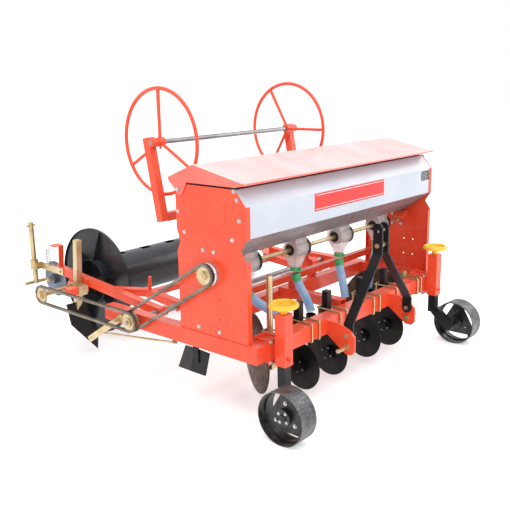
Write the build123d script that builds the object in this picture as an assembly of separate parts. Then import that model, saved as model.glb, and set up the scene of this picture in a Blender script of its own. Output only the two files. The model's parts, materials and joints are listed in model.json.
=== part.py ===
from build123d import *
from math import asin, atan2, ceil, cos, degrees, pi, radians, sin, sqrt, tan
import os

# Mounted four-row corn planter with a rear soil-covering drum.
# Working frame: X across (drive side is -X), Y rearwards from the front beam's front face, Z up from
# the ground. Everything is moved at the end so that the origin is the middle of the footprint.

os.makedirs("parts", exist_ok=True)

# ---- driving dimensions, millimetres ----
half_width = 945.0             # centre plane to the side beams' outer faces
frame_top = 457.0              # height of the frame's top face
beam_size = 90.0               # front beam, square, and height of every frame beam
side_beam_width = 70.0
tube_wall = 5.0
frame_length = 1226.0          # front face to the side beams' rear ends
cross_beam_y = 605.0
cross_beam_depth = 70.0
centre_tube_x = -45.0
centre_tube_size = 60.0
centre_tube_rise = 28.0        # how far it stands above the frame's top face
tie_size = 40.0
tie_y = 485.0
tie_height = 560.0

# three-point hitch, category 1
shoulder_half_span = 341.5     # half of the 683 mm between the lower pins' shoulders
hitch_y = -135.0
lower_pin_height = 320.0
lower_pin_radius = 11.0
lower_pin_length = 85.0
linch_hole_radius = 5.5
lug_thickness = 12.0
lug_collar = 5.5
lug_bolt_height = 386.0
mast_top = 971.0
mast_hole_height = 926.0
mast_bolt_height = 842.0
mast_bar_width = 60.0
mast_bar_thickness = 12.0
mast_gap = 52.0
mast_bend_low = 452.0
mast_bend_high = 795.0
top_link_radius = 9.75
bolt_radius = 8.0

# hopper, its side panels and lid
sheet = 3.0
panel_outer = half_width - 7.0
panel_front = 57.0
panel_rear = 556.0
panel_top = 1255.0
flange_width = 28.0
hopper_wall = 2.0
hopper_mid_top = 1172.0
hopper_mid_low = 1010.0
hopper_bottom = 880.0
hopper_floor_front = 235.0
hopper_floor_rear = 390.0
hopper_top_front = 130.0
lid_gap = 3.0
lid_ridge_y = 416.0
lid_ridge_height = 1358.0
lid_front_y = 62.0
lid_front_height = 1284.0
lid_rear_y = 602.0
lid_rear_height = 1282.0
lid_lip_radius = 7.0
lid_pivot_y = 529.0
lid_pivot_height = 1226.0
lid_pivot_radius = 6.0

# seed drive
shaft_y = 312.0
shaft_height = 800.0
shaft_radius = 12.5
hex_across = 22.0
meter_x = (-670.0, -225.0, 225.0, 670.0)
meter_length = 110.0
meter_outer = 60.0
rotor_radius = 47.0
rotor_clearance = 1.5
meter_wall = 4.0
spigot_radius = 25.0
spigot_bottom = 664.0
meter_cap_length = 24.0
bearing_radius = 62.0
bearing_depth = 26.0
running_clearance = 0.05
knob_rise = 46.0               # of the rate knob's axis above the shaft's

chain_pitch = 15.875
sprocket_teeth = 22
sprocket_width = 9.0
inner_chain_x = -(half_width + 40.0)
outer_chain_x = inner_chain_x - 25.0
roller_radius = 5.08
chain_plate_height = 14.0
chain_plate_gap = 13.0
chain_plate_thickness = 2.0

# seed hoses and row openers
row_x = (-450.0, -180.0, 180.0, 450.0)
hose_radius = 26.0
hose_wall = 2.5
hose_gap = 17.0                # room for its slanting ends
boot_y = 232.0
boot_top = 400.0
opener_disc_radius = 139.0
opener_disc_height = 203.0
opener_disc_y = 75.0
opener_disc_lead = 5.0         # degrees that a disc's front edge turns inwards
opener_shank = 40.0
u_bolt_radius = 5.0
u_bolt_gap = 7.0               # from a beam's face to the U bolt's centre line

# gauge wheels
sleeve_x = 800.0
sleeve_size = 65.0
sleeve_bore = 52.0
sleeve_centre_y = -62.0
leg_size = 50.0
leg_wall = 5.0
sleeve_bottom = 342.0
sleeve_top = 622.0
sleeve_plate = 10.0
gauge_plate_half = 54.0
wheel_radius = 142.5
wheel_width = 115.0
wheel_inner_x = 870.0
wheel_y = -180.0
axle_radius = 12.5
handwheel_radius = 80.0
screw_radius = 10.0
leg_travel_up = 60.0
leg_travel_down = 120.0

# ridging discs in front
ridging_disc_radius = 230.0
ridging_disc_centre = (654.0, 288.0, 275.0)
ridging_disc_lead = 31.0       # degrees that its front edge turns outwards
ridging_shank_x = 706.0
ridging_shank_y = 110.0
ridging_shank_radius = 17.0

# rear unit, hinged on the idler's axis
pivot_y = 923.0
pivot_height = 424.0
pivot_radius = 20.0
arm_x = 760.0
arm_size = 50.0
arm_tilt = 5.7                 # degrees that the arms rise rearwards at rest
arm_length = 1055.0
drum_y = 1807.0
drum_height = 428.0
drum_radius = 155.0
drum_half_length = 565.0
drum_ring_radius = 368.0
drum_ring_width = 12.0
drum_end_length = 55.0         # of the shell outside its rings
drum_wall = 4.0
drum_axle_radius = 17.5
shovel_x = 820.0
shank_size = 40.0
shovel_tip = 42.0              # of the shovels' points above the ground
brace_x = 600.0

# reel for tape or film
reel_y = 991.0
reel_height = 1428.0
reel_left_x = -640.0
reel_right_x = 560.0
reel_ring_radius = 309.0
reel_rod_radius = 11.0
reel_shaft_radius = 14.0
reel_post_size = 50.0
reel_post_back = 38.0          # from the reel's axis back to a post's centre line
reel_beam_height = 990.0


# ---- helpers ----
def block(x0, x1, y0, y1, z0, z1):
    size = (abs(x1 - x0), abs(y1 - y0), abs(z1 - z0))
    return Pos((x0 + x1) / 2, (y0 + y1) / 2, (z0 + z1) / 2) * Box(*size)


def rod(start, end, radius):
    line = Vector(*end) - Vector(*start)
    plane = Plane(origin=Vector(*start), z_dir=line.normalized())
    return extrude(plane * Circle(radius), line.length)


def pipe(start, end, outer, inner):
    return rod(start, end, outer) - rod(start, end, inner)


def cross_rod(x0, x1, y, z, radius):
    return rod((x0, y, z), (x1, y, z), radius)


def cross_pipe(x0, x1, y, z, outer, inner):
    return cross_rod(x0, x1, y, z, outer) - cross_rod(x0, x1, y, z, inner)


def side_plate(x0, x1, outline):
    """A plate cut to an outline of (Y, Z) points and standing between two X planes."""
    face = make_face(Polyline(*[(x0, y, z) for y, z in outline], close=True))
    return extrude(face, abs(x1 - x0), dir=(1 if x1 > x0 else -1, 0, 0))


def front_plate(y0, y1, outline):
    """A plate cut to an outline of (X, Z) points and standing between two Y planes."""
    face = make_face(Polyline(*[(x, y0, z) for x, z in outline], close=True))
    return extrude(face, abs(y1 - y0), dir=(0, 1 if y1 > y0 else -1, 0))


def solid_bar(start, end, width, depth):
    """A rectangular bar; width is measured across the line, level with the ground."""
    line = Vector(*end) - Vector(*start)
    up = Vector(0, 0, 1)
    across = line.cross(up) if line.cross(up).length > 1e-6 else Vector(1, 0, 0)
    plane = Plane(origin=Vector(*start), x_dir=across.normalized(), z_dir=line.normalized())
    return extrude(plane * Rectangle(width, depth), line.length)


def hex_bar(x0, x1, y, z, across_flats):
    plane = Plane(origin=(x0, y, z), x_dir=(0, 1, 0), z_dir=(1, 0, 0))
    return extrude(plane * RegularPolygon(across_flats / 2, 6, major_radius=False), x1 - x0)


def mirrored(piece):
    return mirror(piece, about=Plane.YZ)


def both(piece):
    return [piece, mirrored(piece)]


def bolt(x, y, z, side, radius=6.0, head=6.0):
    """A hexagon head and its washer, standing on a plate whose face is at x."""
    washer = cross_rod(x, x + side * 2.0, y, z, radius * 1.9)
    near, far = sorted((x + side * 2.0, x + side * (2.0 + head)))
    return washer + hex_bar(near, far, y, z, radius * 2.8)


def front_bolt(x, y, z, radius=6.0, head=6.0):
    """The same head, facing forwards from a plate whose front face is at y."""
    plane = Plane(origin=(x, y - 2.0, z), x_dir=(1, 0, 0), z_dir=(0, -1, 0))
    cap = extrude(plane * RegularPolygon(radius * 1.4, 6, major_radius=False), head)
    return rod((x, y, z), (x, y - 2.0, z), radius * 1.9) + cap


def sprocket(x, y, z, hub_radius, hub_ends, bore):
    """A roller-chain sprocket about X, with its hub running between two X planes."""
    pitch_radius = chain_pitch / 2 / sin(pi / sprocket_teeth)
    plane = Plane(origin=(x - sprocket_width / 2, y, z), x_dir=(0, 1, 0), z_dir=(1, 0, 0))
    disc = extrude(plane * Circle(pitch_radius + roller_radius * 0.75), sprocket_width)
    seats = Sketch() + PolarLocations(pitch_radius, sprocket_teeth) * Circle(roller_radius + 0.4)
    disc -= extrude(plane * seats, sprocket_width)
    low, high = hub_ends
    return disc + cross_rod(low, high, y, z, hub_radius) - cross_rod(low - 1, high + 1, y, z, bore)


def chain_band(x, start, end):
    """The two rows of a chain's side plates around a pair of equal sprockets."""
    pitch_radius = chain_pitch / 2 / sin(pi / sprocket_teeth)
    half = chain_plate_height / 2
    gap = Vector(0, *end) - Vector(0, *start)
    turn = degrees(atan2(gap.Z, gap.Y))
    middle = ((start[0] + end[0]) / 2, (start[1] + end[1]) / 2)
    rows = []
    for side in (-1, 1):
        low = x + side * (chain_plate_gap + chain_plate_thickness) / 2 - chain_plate_thickness / 2
        plane = Plane(origin=(low, *middle), x_dir=(0, 1, 0), z_dir=(1, 0, 0))
        place = plane * Rot(0, 0, turn)
        outer = place * SlotCenterToCenter(gap.length, 2 * (pitch_radius + half))
        inner = place * SlotCenterToCenter(gap.length, 2 * (pitch_radius - half))
        rows.append(extrude(outer, chain_plate_thickness) - extrude(inner, chain_plate_thickness))
    return rows


nodes = {}
inside = panel_outer - sheet            # inner faces of the side panels
frame_bottom = frame_top - beam_size
side_inner = half_width - side_beam_width


# ---- main frame ----
def hollow_beam(x0, x1, y0, y1, z0, z1, along):
    w = tube_wall
    if along == "x":
        return block(x0, x1, y0, y1, z0, z1) - block(x0, x1, y0 + w, y1 - w, z0 + w, z1 - w)
    return block(x0, x1, y0, y1, z0, z1) - block(x0 + w, x1 - w, y0, y1, z0 + w, z1 - w)


def main_frame():
    w = tube_wall
    front = hollow_beam(-half_width, half_width, 0, beam_size, frame_bottom, frame_top, "x")
    cap = block(half_width - w, half_width, w, beam_size - w, frame_bottom + w, frame_top - w)
    nodes["front_beam"] = [front, *both(cap)]
    side = hollow_beam(side_inner, half_width, beam_size, frame_length, frame_bottom, frame_top, "y")
    rear_cap = block(side_inner + w, half_width - w, frame_length - w, frame_length,
                     frame_bottom + w, frame_top - w)
    stud_hole = cross_rod(side_inner - 1, half_width + 1, pivot_y, pivot_height, pivot_radius)
    nodes["side_beams"] = both(side - stud_hole) + both(rear_cap)

    near = cross_beam_y - cross_beam_depth / 2
    far = cross_beam_y + cross_beam_depth / 2
    cross = hollow_beam(-side_inner, side_inner, near, far, frame_bottom, frame_top, "x")
    x0 = centre_tube_x - centre_tube_size / 2
    x1 = centre_tube_x + centre_tube_size / 2
    top = frame_top + centre_tube_rise
    centre = hollow_beam(x0, x1, beam_size, near, top - centre_tube_size, top, "y")
    tie = hollow_beam(-inside, inside, tie_y - tie_size / 2, tie_y + tie_size / 2,
                      tie_height - tie_size / 2, tie_height + tie_size / 2, "x")
    post = block(centre_tube_x - 15, centre_tube_x + 15, tie_y - 15, tie_y + 15,
                 top, tie_height - tie_size / 2)
    foot = block(inside - 5, inside, 170, 500, frame_top, frame_top + 60)
    foot += block(side_inner + 2, inside, 170, 500, frame_top, frame_top + 5)
    nodes["cross_members"] = [cross, centre, tie, post, *both(foot)]


# ---- hitch ----
def hitch():
    inner = shoulder_half_span - lug_collar - lug_thickness
    outer = inner + lug_thickness
    outline = [(0, 447), (-70, 447), (-150, 420), (-185, 385), (-185, 300), (-165, 276),
               (-125, 276), (0, frame_bottom)]
    lug = side_plate(inner, outer, outline)
    lug -= cross_rod(inner - 1, outer + 1, hitch_y, lower_pin_height, lower_pin_radius)
    lug -= cross_rod(inner - 1, outer + 1, hitch_y, lug_bolt_height, bolt_radius)
    nodes["hitch_lugs"] = both(lug)

    tip = shoulder_half_span + lower_pin_length
    pin = cross_rod(inner - 22, tip, hitch_y, lower_pin_height, lower_pin_radius)
    pin += cross_rod(outer, shoulder_half_span, hitch_y, lower_pin_height, 18)
    pin += hex_bar(inner - 18, inner, hitch_y, lower_pin_height, 32)
    pin -= rod((tip - 14, hitch_y, lower_pin_height - 20), (tip - 14, hitch_y, lower_pin_height + 20),
               linch_hole_radius)
    bar_inner = inner - mast_bar_thickness
    lug_bolt = cross_rod(bar_inner, outer, hitch_y, lug_bolt_height, bolt_radius)
    lug_bolt += hex_bar(outer, outer + 10, hitch_y, lug_bolt_height, 24)
    lug_bolt += hex_bar(bar_inner - 12, bar_inner, hitch_y, lug_bolt_height, 24)
    half_gap = mast_gap / 2
    mast_outer = half_gap + mast_bar_thickness
    top_bolt = cross_rod(-mast_outer, mast_outer, hitch_y, mast_bolt_height, bolt_radius)
    top_bolt += hex_bar(-mast_outer - 10, -mast_outer, hitch_y, mast_bolt_height, 24)
    top_bolt += hex_bar(mast_outer, mast_outer + 12, hitch_y, mast_bolt_height, 24)
    spacer = cross_pipe(-half_gap, half_gap, hitch_y, mast_bolt_height, 17, bolt_radius)
    nodes["hitch_pins"] = [*both(pin), *both(lug_bolt), top_bolt, spacer]

    low = lug_bolt_height - 32
    outline = [(inner, low), (inner, mast_bend_low), (mast_outer, mast_bend_high), (mast_outer, mast_top),
               (half_gap, mast_top), (half_gap, mast_bend_high), (bar_inner, mast_bend_low),
               (bar_inner, low)]
    y0 = hitch_y - mast_bar_width / 2
    bar = front_plate(y0, y0 + mast_bar_width, outline)
    plane = Plane(origin=(0, hitch_y, (low + mast_top) / 2), x_dir=(0, 0, 1), z_dir=(1, 0, 0))
    bar &= extrude(plane * SlotOverall(mast_top - low, mast_bar_width), inner + 10)
    for height, radius in ((mast_hole_height, top_link_radius), (mast_bolt_height, bolt_radius),
                           (lug_bolt_height, bolt_radius)):
        bar -= cross_rod(0, inner + 5, hitch_y, height, radius)
    nodes["mast_bars"] = both(bar)


# ---- side panels, hopper and lid ----
def panel_outline():
    return [(panel_front, frame_top), (panel_front, 892), (97, 948), (panel_front, 1008),
            (panel_front, hopper_mid_top), (112, 1235), (hopper_top_front, panel_top),
            (545, panel_top), (panel_rear, 1240), (panel_rear, 1007), (530, 950), (panel_rear, 893),
            (panel_rear, frame_top)]


def panels():
    plate = side_plate(-panel_outer, -inside, panel_outline())
    for low, high in ((frame_top, 892), (1008, hopper_mid_top)):
        plate += block(-panel_outer, -inside + flange_width, panel_front, panel_front + sheet, low, high)
        plate += block(-panel_outer, -inside + flange_width * 0.7, panel_rear - sheet, panel_rear,
                       low, high)
    shield = [(443, 1196), (275, 1196), (195, 1165), (197, 1084), (326, 993), (451, 1060)]
    plate += side_plate(-panel_outer - 2.0, -panel_outer, shield)
    plate -= cross_rod(-panel_outer - 5, -inside + 5, shaft_y, shaft_height, shaft_radius + 8)
    plate -= cross_rod(-panel_outer - 5, -inside + 5, lid_pivot_y, lid_pivot_height, lid_pivot_radius)
    for y in (182, 252):
        for z in (560, 666):
            plate -= cross_rod(-panel_outer - 5, -inside + 5, y, z, 5)
    nodes["panel_left"] = [plate]
    nodes["panel_right"] = [mirrored(plate)]


def hopper_outline(inset):
    front = panel_front + sheet + inset
    rear = panel_rear - sheet - 5.0 - inset
    floor = hopper_bottom + inset
    lean = inset * 0.5
    return [(hopper_top_front + inset, panel_top - 2), (front, hopper_mid_top),
            (front, hopper_mid_low + lean), (hopper_floor_front + lean, floor),
            (hopper_floor_rear - lean, floor), (rear, hopper_mid_low + lean), (rear, panel_top - 2)]


def hopper():
    inner = inside - hopper_wall
    outer_shape = side_plate(-inside, inside, hopper_outline(0))
    outer_shape -= side_plate(-inner, inner, hopper_outline(hopper_wall))
    for x in meter_x:
        outer_shape -= block(x - 35, x + 35, shaft_y - 35, shaft_y + 35,
                             hopper_bottom - 1, hopper_bottom + hopper_wall + 2)
    nodes["hopper"] = [outer_shape]


def lid():
    gable_inner = panel_outer + lid_gap
    gable_outer = gable_inner + sheet
    gable = [(lid_rear_y, lid_rear_height), (lid_ridge_y, lid_ridge_height),
             (lid_front_y, lid_front_height), (lid_front_y + 6, 1277), (122, 1266), (463, 1266), (497, 1204),
             (512, 1192), (535, 1199), (556, 1228), (600, 1268)]
    piece = side_plate(-gable_outer, -gable_inner, gable)
    piece -= cross_rod(-gable_outer - 1, -gable_inner + 1, lid_pivot_y, lid_pivot_height,
                       lid_pivot_radius + running_clearance)
    piece += mirrored(piece)
    roof = [(lid_front_y, lid_front_height), (lid_ridge_y, lid_ridge_height),
            (lid_rear_y, lid_rear_height), (lid_rear_y, lid_rear_height + sheet),
            (lid_ridge_y, lid_ridge_height + sheet), (lid_front_y, lid_front_height + sheet)]
    piece += side_plate(-gable_outer, gable_outer, roof)
    piece += cross_rod(-gable_outer, gable_outer, lid_front_y, lid_front_height, lid_lip_radius)
    nodes["lid"] = [piece]


# ---- seed meters and their shaft ----
def meter_housing(x):
    half = meter_length / 2
    body = cross_rod(x - half, x + half, shaft_y, shaft_height, meter_outer)
    body += block(x - half, x + half, shaft_y - 45, shaft_y + 45, shaft_height, hopper_bottom)
    funnel_top = shaft_height - 40
    funnel = loft([
        Plane.XY.offset(funnel_top) * Pos(x, shaft_y) * Rectangle(92, 92),
        Plane.XY.offset(spigot_bottom + 26) * Pos(x, shaft_y) * Rectangle(50, 50),
    ])
    body += funnel
    body += rod((x, shaft_y, spigot_bottom), (x, shaft_y, spigot_bottom + 27), spigot_radius)
    inner_funnel = loft([
        Plane.XY.offset(funnel_top + 4) * Pos(x, shaft_y) * Rectangle(84, 84),
        Plane.XY.offset(spigot_bottom + 27) * Pos(x, shaft_y) * Rectangle(42, 42),
    ])
    body -= inner_funnel
    body -= rod((x, shaft_y, spigot_bottom - 1), (x, shaft_y, spigot_bottom + 30),
                spigot_radius - meter_wall)
    chamber = rotor_radius + rotor_clearance
    body -= cross_rod(x - half + meter_wall, x + half, shaft_y, shaft_height, chamber)
    body -= block(x - 35, x + 35, shaft_y - 35, shaft_y + 35, shaft_height, hopper_bottom + 1)
    body -= cross_rod(x - half - 1, x + half, shaft_y, shaft_height, rotor_radius * 0.72)
    return body


def meter_cap(x):
    start = x + meter_length / 2
    cap = cross_rod(start, start + meter_cap_length, shaft_y, shaft_height, meter_outer)
    return cap - cross_rod(start - 1, start + meter_cap_length + 1, shaft_y, shaft_height,
                           hex_across / 2 + 4)


def fluted_roller(x):
    half = meter_length / 2
    low = x - half + meter_wall + 2
    high = x + half - 2
    plane = Plane(origin=(low, shaft_y, shaft_height), x_dir=(0, 1, 0), z_dir=(1, 0, 0))
    flutes = Sketch() + PolarLocations(rotor_radius, 12) * Circle(8.0)
    roller = extrude(plane * Circle(rotor_radius), high - low) - extrude(plane * flutes, high - low)
    return roller - hex_bar(low, high, shaft_y, shaft_height, hex_across)


def hose_clamp(x):
    ring = spigot_radius + hose_wall
    bottom = spigot_bottom + 2
    clamp = pipe((x, shaft_y, bottom), (x, shaft_y, bottom + 20), ring + 4, spigot_radius)
    return clamp + block(x - 8, x + 8, shaft_y - ring - 16, shaft_y - ring - 2, bottom + 3, bottom + 17)


def seed_drive():
    nodes["meter_housings"] = [meter_housing(x) for x in meter_x]
    nodes["meter_end_caps"] = [meter_cap(x) for x in meter_x]
    nodes["feed_rollers"] = [fluted_roller(x) for x in meter_x]
    nodes["outlet_clamps"] = [hose_clamp(x) for x in meter_x]

    bearing = cross_rod(-panel_outer - bearing_depth, -panel_outer, shaft_y, shaft_height, bearing_radius)
    bearing = chamfer(bearing.edges().group_by(Axis.X)[0], 6)
    bearing -= cross_rod(-panel_outer - bearing_depth - 1, -panel_outer + 1, shaft_y, shaft_height,
                         shaft_radius + running_clearance)
    nodes["shaft_bearings"] = both(bearing)

    hub = (inner_chain_x - 22, inner_chain_x + 8)
    wheel = sprocket(inner_chain_x, shaft_y, shaft_height, 24, hub, shaft_radius)
    turned = cross_rod(hub[0] - 4, -inside + 30, shaft_y, shaft_height, shaft_radius)
    turned += hex_bar(-inside + 30, inside - 30, shaft_y, shaft_height, hex_across)
    turned += cross_rod(inside - 30, panel_outer + bearing_depth + 8, shaft_y, shaft_height, shaft_radius)
    nodes["seed_shaft"] = [turned, wheel]

    x = inside - 62
    z = shaft_height + knob_rise
    knob = rod((x, shaft_y - 105, z), (x, shaft_y - 20, z), 30)
    knob -= rod((x, shaft_y - 106, z), (x, shaft_y - 96, z), 24)
    knob -= rod((x, shaft_y - 97, z), (x, shaft_y - 19, z), 8 + running_clearance)
    nodes["rate_knob"] = [knob]


# ---- hoses from the meters to the openers ----
def hose_route(meter, row):
    """Four points from below a meter's spigot to above its opener's boot."""
    top = spigot_bottom - hose_gap
    bottom = boot_top + hose_gap
    side = row - meter
    back = boot_y - shaft_y
    drop = bottom - top
    return [(meter + side * across, shaft_y + back * across, top + drop * down)
            for across, down in ((0, 0), (0.15, 0.25), (0.85, 0.75), (1, 1))]


def hose(name, meter, row):
    points = [Vector(*p) for p in hose_route(meter, row)]
    radii = []
    for before, here, after in zip(points, points[1:], points[2:]):
        turn = radians((here - before).get_angle(after - here))
        shorter = min((here - before).length, (after - here).length)
        radii.append(0.45 * shorter / tan(turn / 2))
    path = FilletPolyline(*points, radius=radii)
    section = Plane(origin=path @ 0, z_dir=path % 0) * Circle(hose_radius)
    bore = Plane(origin=path @ 0, z_dir=path % 0) * Circle(hose_radius - hose_wall)
    tube = sweep(section, path) - sweep(bore, path)
    area = pi * (hose_radius ** 2 - (hose_radius - hose_wall) ** 2)
    print(name, "radii", [round(r) for r in radii], "length", round(path.length, 1),
          "volume ratio", round(tube.volume / area / path.length, 4))
    nodes[name] = [tube]


# ---- row openers ----
def opener(row):
    y0 = beam_size + 6
    mid = y0 + opener_shank / 2
    shank = block(row - 20, row + 20, y0, y0 + opener_shank, 258, frame_top + 110)
    carrier = side_plate(row - 8, row + 8, [(y0, 300), (y0 + opener_shank, 300), (y0 + opener_shank, 215),
                                            (opener_disc_y, 160), (opener_disc_y - 34, 190),
                                            (opener_disc_y - 20, 240), (y0, 262)])
    carrier -= block(row - 9, row + 9, y0 - 1, y0 + opener_shank + 1, 258, 301)
    boot = pipe((row, boot_y, 250), (row, boot_y, boot_top - 1), hose_radius + 4, hose_radius)
    bridge = block(row - 7, row + 7, y0 + opener_shank, boot_y - hose_radius - 3, 262, 300)
    point = side_plate(row - 9, row + 9, [(boot_y - 24, 250), (boot_y + 24, 250), (boot_y + 10, 90),
                                          (boot_y - 60, 90)])
    return shank + carrier + boot + bridge + point


def u_bolt(x, y_rear):
    """A square-bend U bolt around the front beam, with its legs ending at y_rear."""
    high = frame_top + u_bolt_gap
    low = frame_bottom - u_bolt_gap
    path = FilletPolyline((x, y_rear, high), (x, -u_bolt_gap, high), (x, -u_bolt_gap, low),
                          (x, y_rear, low), radius=9)
    section = Plane(origin=path @ 0, z_dir=(0, -1, 0)) * Circle(u_bolt_radius)
    return sweep(section, path)


def leg_holes(x, y):
    """The two holes that a U bolt's legs need in a plate whose front is at y."""
    pair = [rod((x, y - 1, z), (x, y + 9, z), u_bolt_radius)
            for z in (frame_top + u_bolt_gap, frame_bottom - u_bolt_gap)]
    return pair[0] + pair[1]


def openers():
    nodes["opener_shanks"] = [opener(x) for x in row_x]
    clamps = []
    rear = beam_size + 6 + opener_shank
    for x in row_x:
        plate = block(x - 48, x + 48, rear, rear + 8, frame_bottom - 22, frame_top + 22)
        for side in (-34, 34):
            clamps.append(u_bolt(x + side, rear + 24))
            plate -= leg_holes(x + side, rear)
        packer = block(x - 48, x + 48, beam_size, beam_size + 6, frame_bottom + 6, frame_top - 6)
        clamps += [plate, packer]
    back = ridging_shank_y + ridging_shank_radius
    for x in (-ridging_shank_x, ridging_shank_x):
        outer_edge = 31 if x > 0 else 40
        inner_edge = 40 if x > 0 else 31
        plate = block(x - inner_edge, x + outer_edge, back, back + 8, frame_bottom - 20, frame_top + 20)
        for side in (-24, 24):
            clamps.append(u_bolt(x + side, back + 18))
            plate -= leg_holes(x + side, back)
        clamps.append(plate)
    nodes["opener_clamps"] = clamps

    for index, x in enumerate(row_x, 1):
        centre = Location((x - 30, opener_disc_y, opener_disc_height), (0, 0, -opener_disc_lead))
        disc = cross_rod(-1.5, 1.5, 0, 0, opener_disc_radius)
        disc += cross_rod(-22, 12, 0, 0, 42) + cross_rod(-34, -22, 0, 0, 26)
        disc -= cross_rod(-2, 13, 0, 0, 10 + running_clearance)
        nodes[f"opener_disc_{index}"] = [centre * disc]
        stub = centre * cross_rod(-2, 22, 0, 0, 10)
        nodes["opener_shanks"].append(stub)


# ---- gauge wheels ----
def gauge_unit():
    plate_front = -sleeve_plate
    sleeve_y = sleeve_centre_y
    half = sleeve_size / 2
    hole = sleeve_bore / 2
    sleeve = block(sleeve_x - half, sleeve_x + half, sleeve_y - half, sleeve_y + half,
                   sleeve_bottom, sleeve_top)
    sleeve -= block(sleeve_x - hole, sleeve_x + hole, sleeve_y - hole, sleeve_y + hole,
                    sleeve_bottom - 1, sleeve_top - 8)
    sleeve -= rod((sleeve_x, sleeve_y, sleeve_top - 9), (sleeve_x, sleeve_y, sleeve_top + 1),
                  screw_radius + running_clearance)
    wide = gauge_plate_half
    plate = block(sleeve_x - wide, sleeve_x + wide, plate_front, 0, frame_bottom - 24, frame_top + 24)
    sleeve += plate
    sleeve += block(sleeve_x - 20, sleeve_x + 20, sleeve_y + half, plate_front, frame_bottom, frame_top)
    lock_z = sleeve_bottom + 40
    sleeve += rod((sleeve_x - half, sleeve_y, lock_z), (sleeve_x - half - 16, sleeve_y, lock_z), 9)
    sleeve += rod((sleeve_x, sleeve_y - half, lock_z), (sleeve_x, sleeve_y - half - 16, lock_z), 9)
    for side in (-1, 1):
        for z in (frame_bottom - 12, frame_top + 12):
            x = sleeve_x + side * (wide - 12)
            sleeve += rod((x, 0, z), (x, beam_size + 6, z), 6)
            sleeve += rod((x, beam_size, z), (x, beam_size + 10, z), 10)
    for low in (frame_top, frame_bottom - 24):
        sleeve += block(sleeve_x - wide, sleeve_x + wide, beam_size, beam_size + 6, low, low + 24)
    nodes["gauge_sleeves"] = both(sleeve)

    leg_top = sleeve_top - 8 - leg_travel_up - 24
    leg_half = leg_size / 2
    bore = leg_half - leg_wall
    leg = block(sleeve_x - leg_half, sleeve_x + leg_half, sleeve_y - leg_half, sleeve_y + leg_half,
                225, leg_top)
    leg -= block(sleeve_x - bore, sleeve_x + bore, sleeve_y - bore, sleeve_y + bore, 240, leg_top - 20)
    leg -= rod((sleeve_x, sleeve_y, leg_top - 21), (sleeve_x, sleeve_y, leg_top + 1),
               screw_radius + running_clearance)
    arm = side_plate(sleeve_x - 2, sleeve_x + leg_half, [
        (sleeve_y + leg_half, 250), (sleeve_y + leg_half, 225), (wheel_y + 30, wheel_radius - 26),
        (wheel_y - 12, wheel_radius - 26), (wheel_y - 28, wheel_radius + 2), (wheel_y - 20, wheel_radius + 28),
        (sleeve_y - leg_half, 262)])
    leg += arm
    leg += cross_rod(sleeve_x + leg_half, wheel_inner_x + 88, wheel_y, wheel_radius, axle_radius)
    leg += cross_rod(sleeve_x + leg_half, sleeve_x + leg_half + 8, wheel_y, wheel_radius, 24)
    nodes["gauge_leg_right"] = [leg]
    nodes["gauge_leg_left"] = [mirrored(leg)]

    outer = wheel_inner_x + wheel_width
    rim = cross_pipe(wheel_inner_x, outer, wheel_y, wheel_radius, wheel_radius, wheel_radius - 6)
    web_x = wheel_inner_x + 62
    web = cross_rod(web_x, web_x + 6, wheel_y, wheel_radius, wheel_radius - 6)
    plane = Plane(origin=(web_x - 1, wheel_y, wheel_radius), x_dir=(0, 1, 0), z_dir=(1, 0, 0))
    for turn in (30, 150, 270):
        gap = plane * Rot(0, 0, turn) * Pos(112, 0) * Rectangle(56, 160)
        ring = extrude(plane * Circle(wheel_radius - 14), 8)
        web -= extrude(gap, 8) & ring
    hub = cross_rod(wheel_inner_x + 20, wheel_inner_x + 92, wheel_y, wheel_radius, 44)
    bore_out = cross_rod(wheel_inner_x + 10, wheel_inner_x + 90, wheel_y, wheel_radius,
                         axle_radius + running_clearance)
    wheel = rim + web + hub - bore_out
    nodes["gauge_wheel_right"] = [wheel]
    nodes["gauge_wheel_left"] = [mirrored(wheel)]

    neck = sleeve_top + 1
    hand = rod((sleeve_x, sleeve_y, leg_top - leg_travel_down - 60), (sleeve_x, sleeve_y, neck + 34), screw_radius)
    hand += rod((sleeve_x, sleeve_y, neck), (sleeve_x, sleeve_y, neck + 34), 20)
    rim_plane = Plane(origin=(sleeve_x, sleeve_y, neck + 44))
    ring = rim_plane * Torus(handwheel_radius - 13, 13)
    plate_ring = rod((sleeve_x, sleeve_y, neck + 34), (sleeve_x, sleeve_y, neck + 44),
                     handwheel_radius - 14)
    for turn in (0, 120, 240):
        away = 34
        x = sleeve_x + away * cos(radians(turn))
        y = sleeve_y + away * sin(radians(turn))
        plate_ring -= rod((x, y, neck + 33), (x, y, neck + 45), 12)
    nodes["handwheel_right"] = [hand + ring + plate_ring]
    nodes["handwheel_left"] = [mirrored(hand + ring + plate_ring)]


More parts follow.
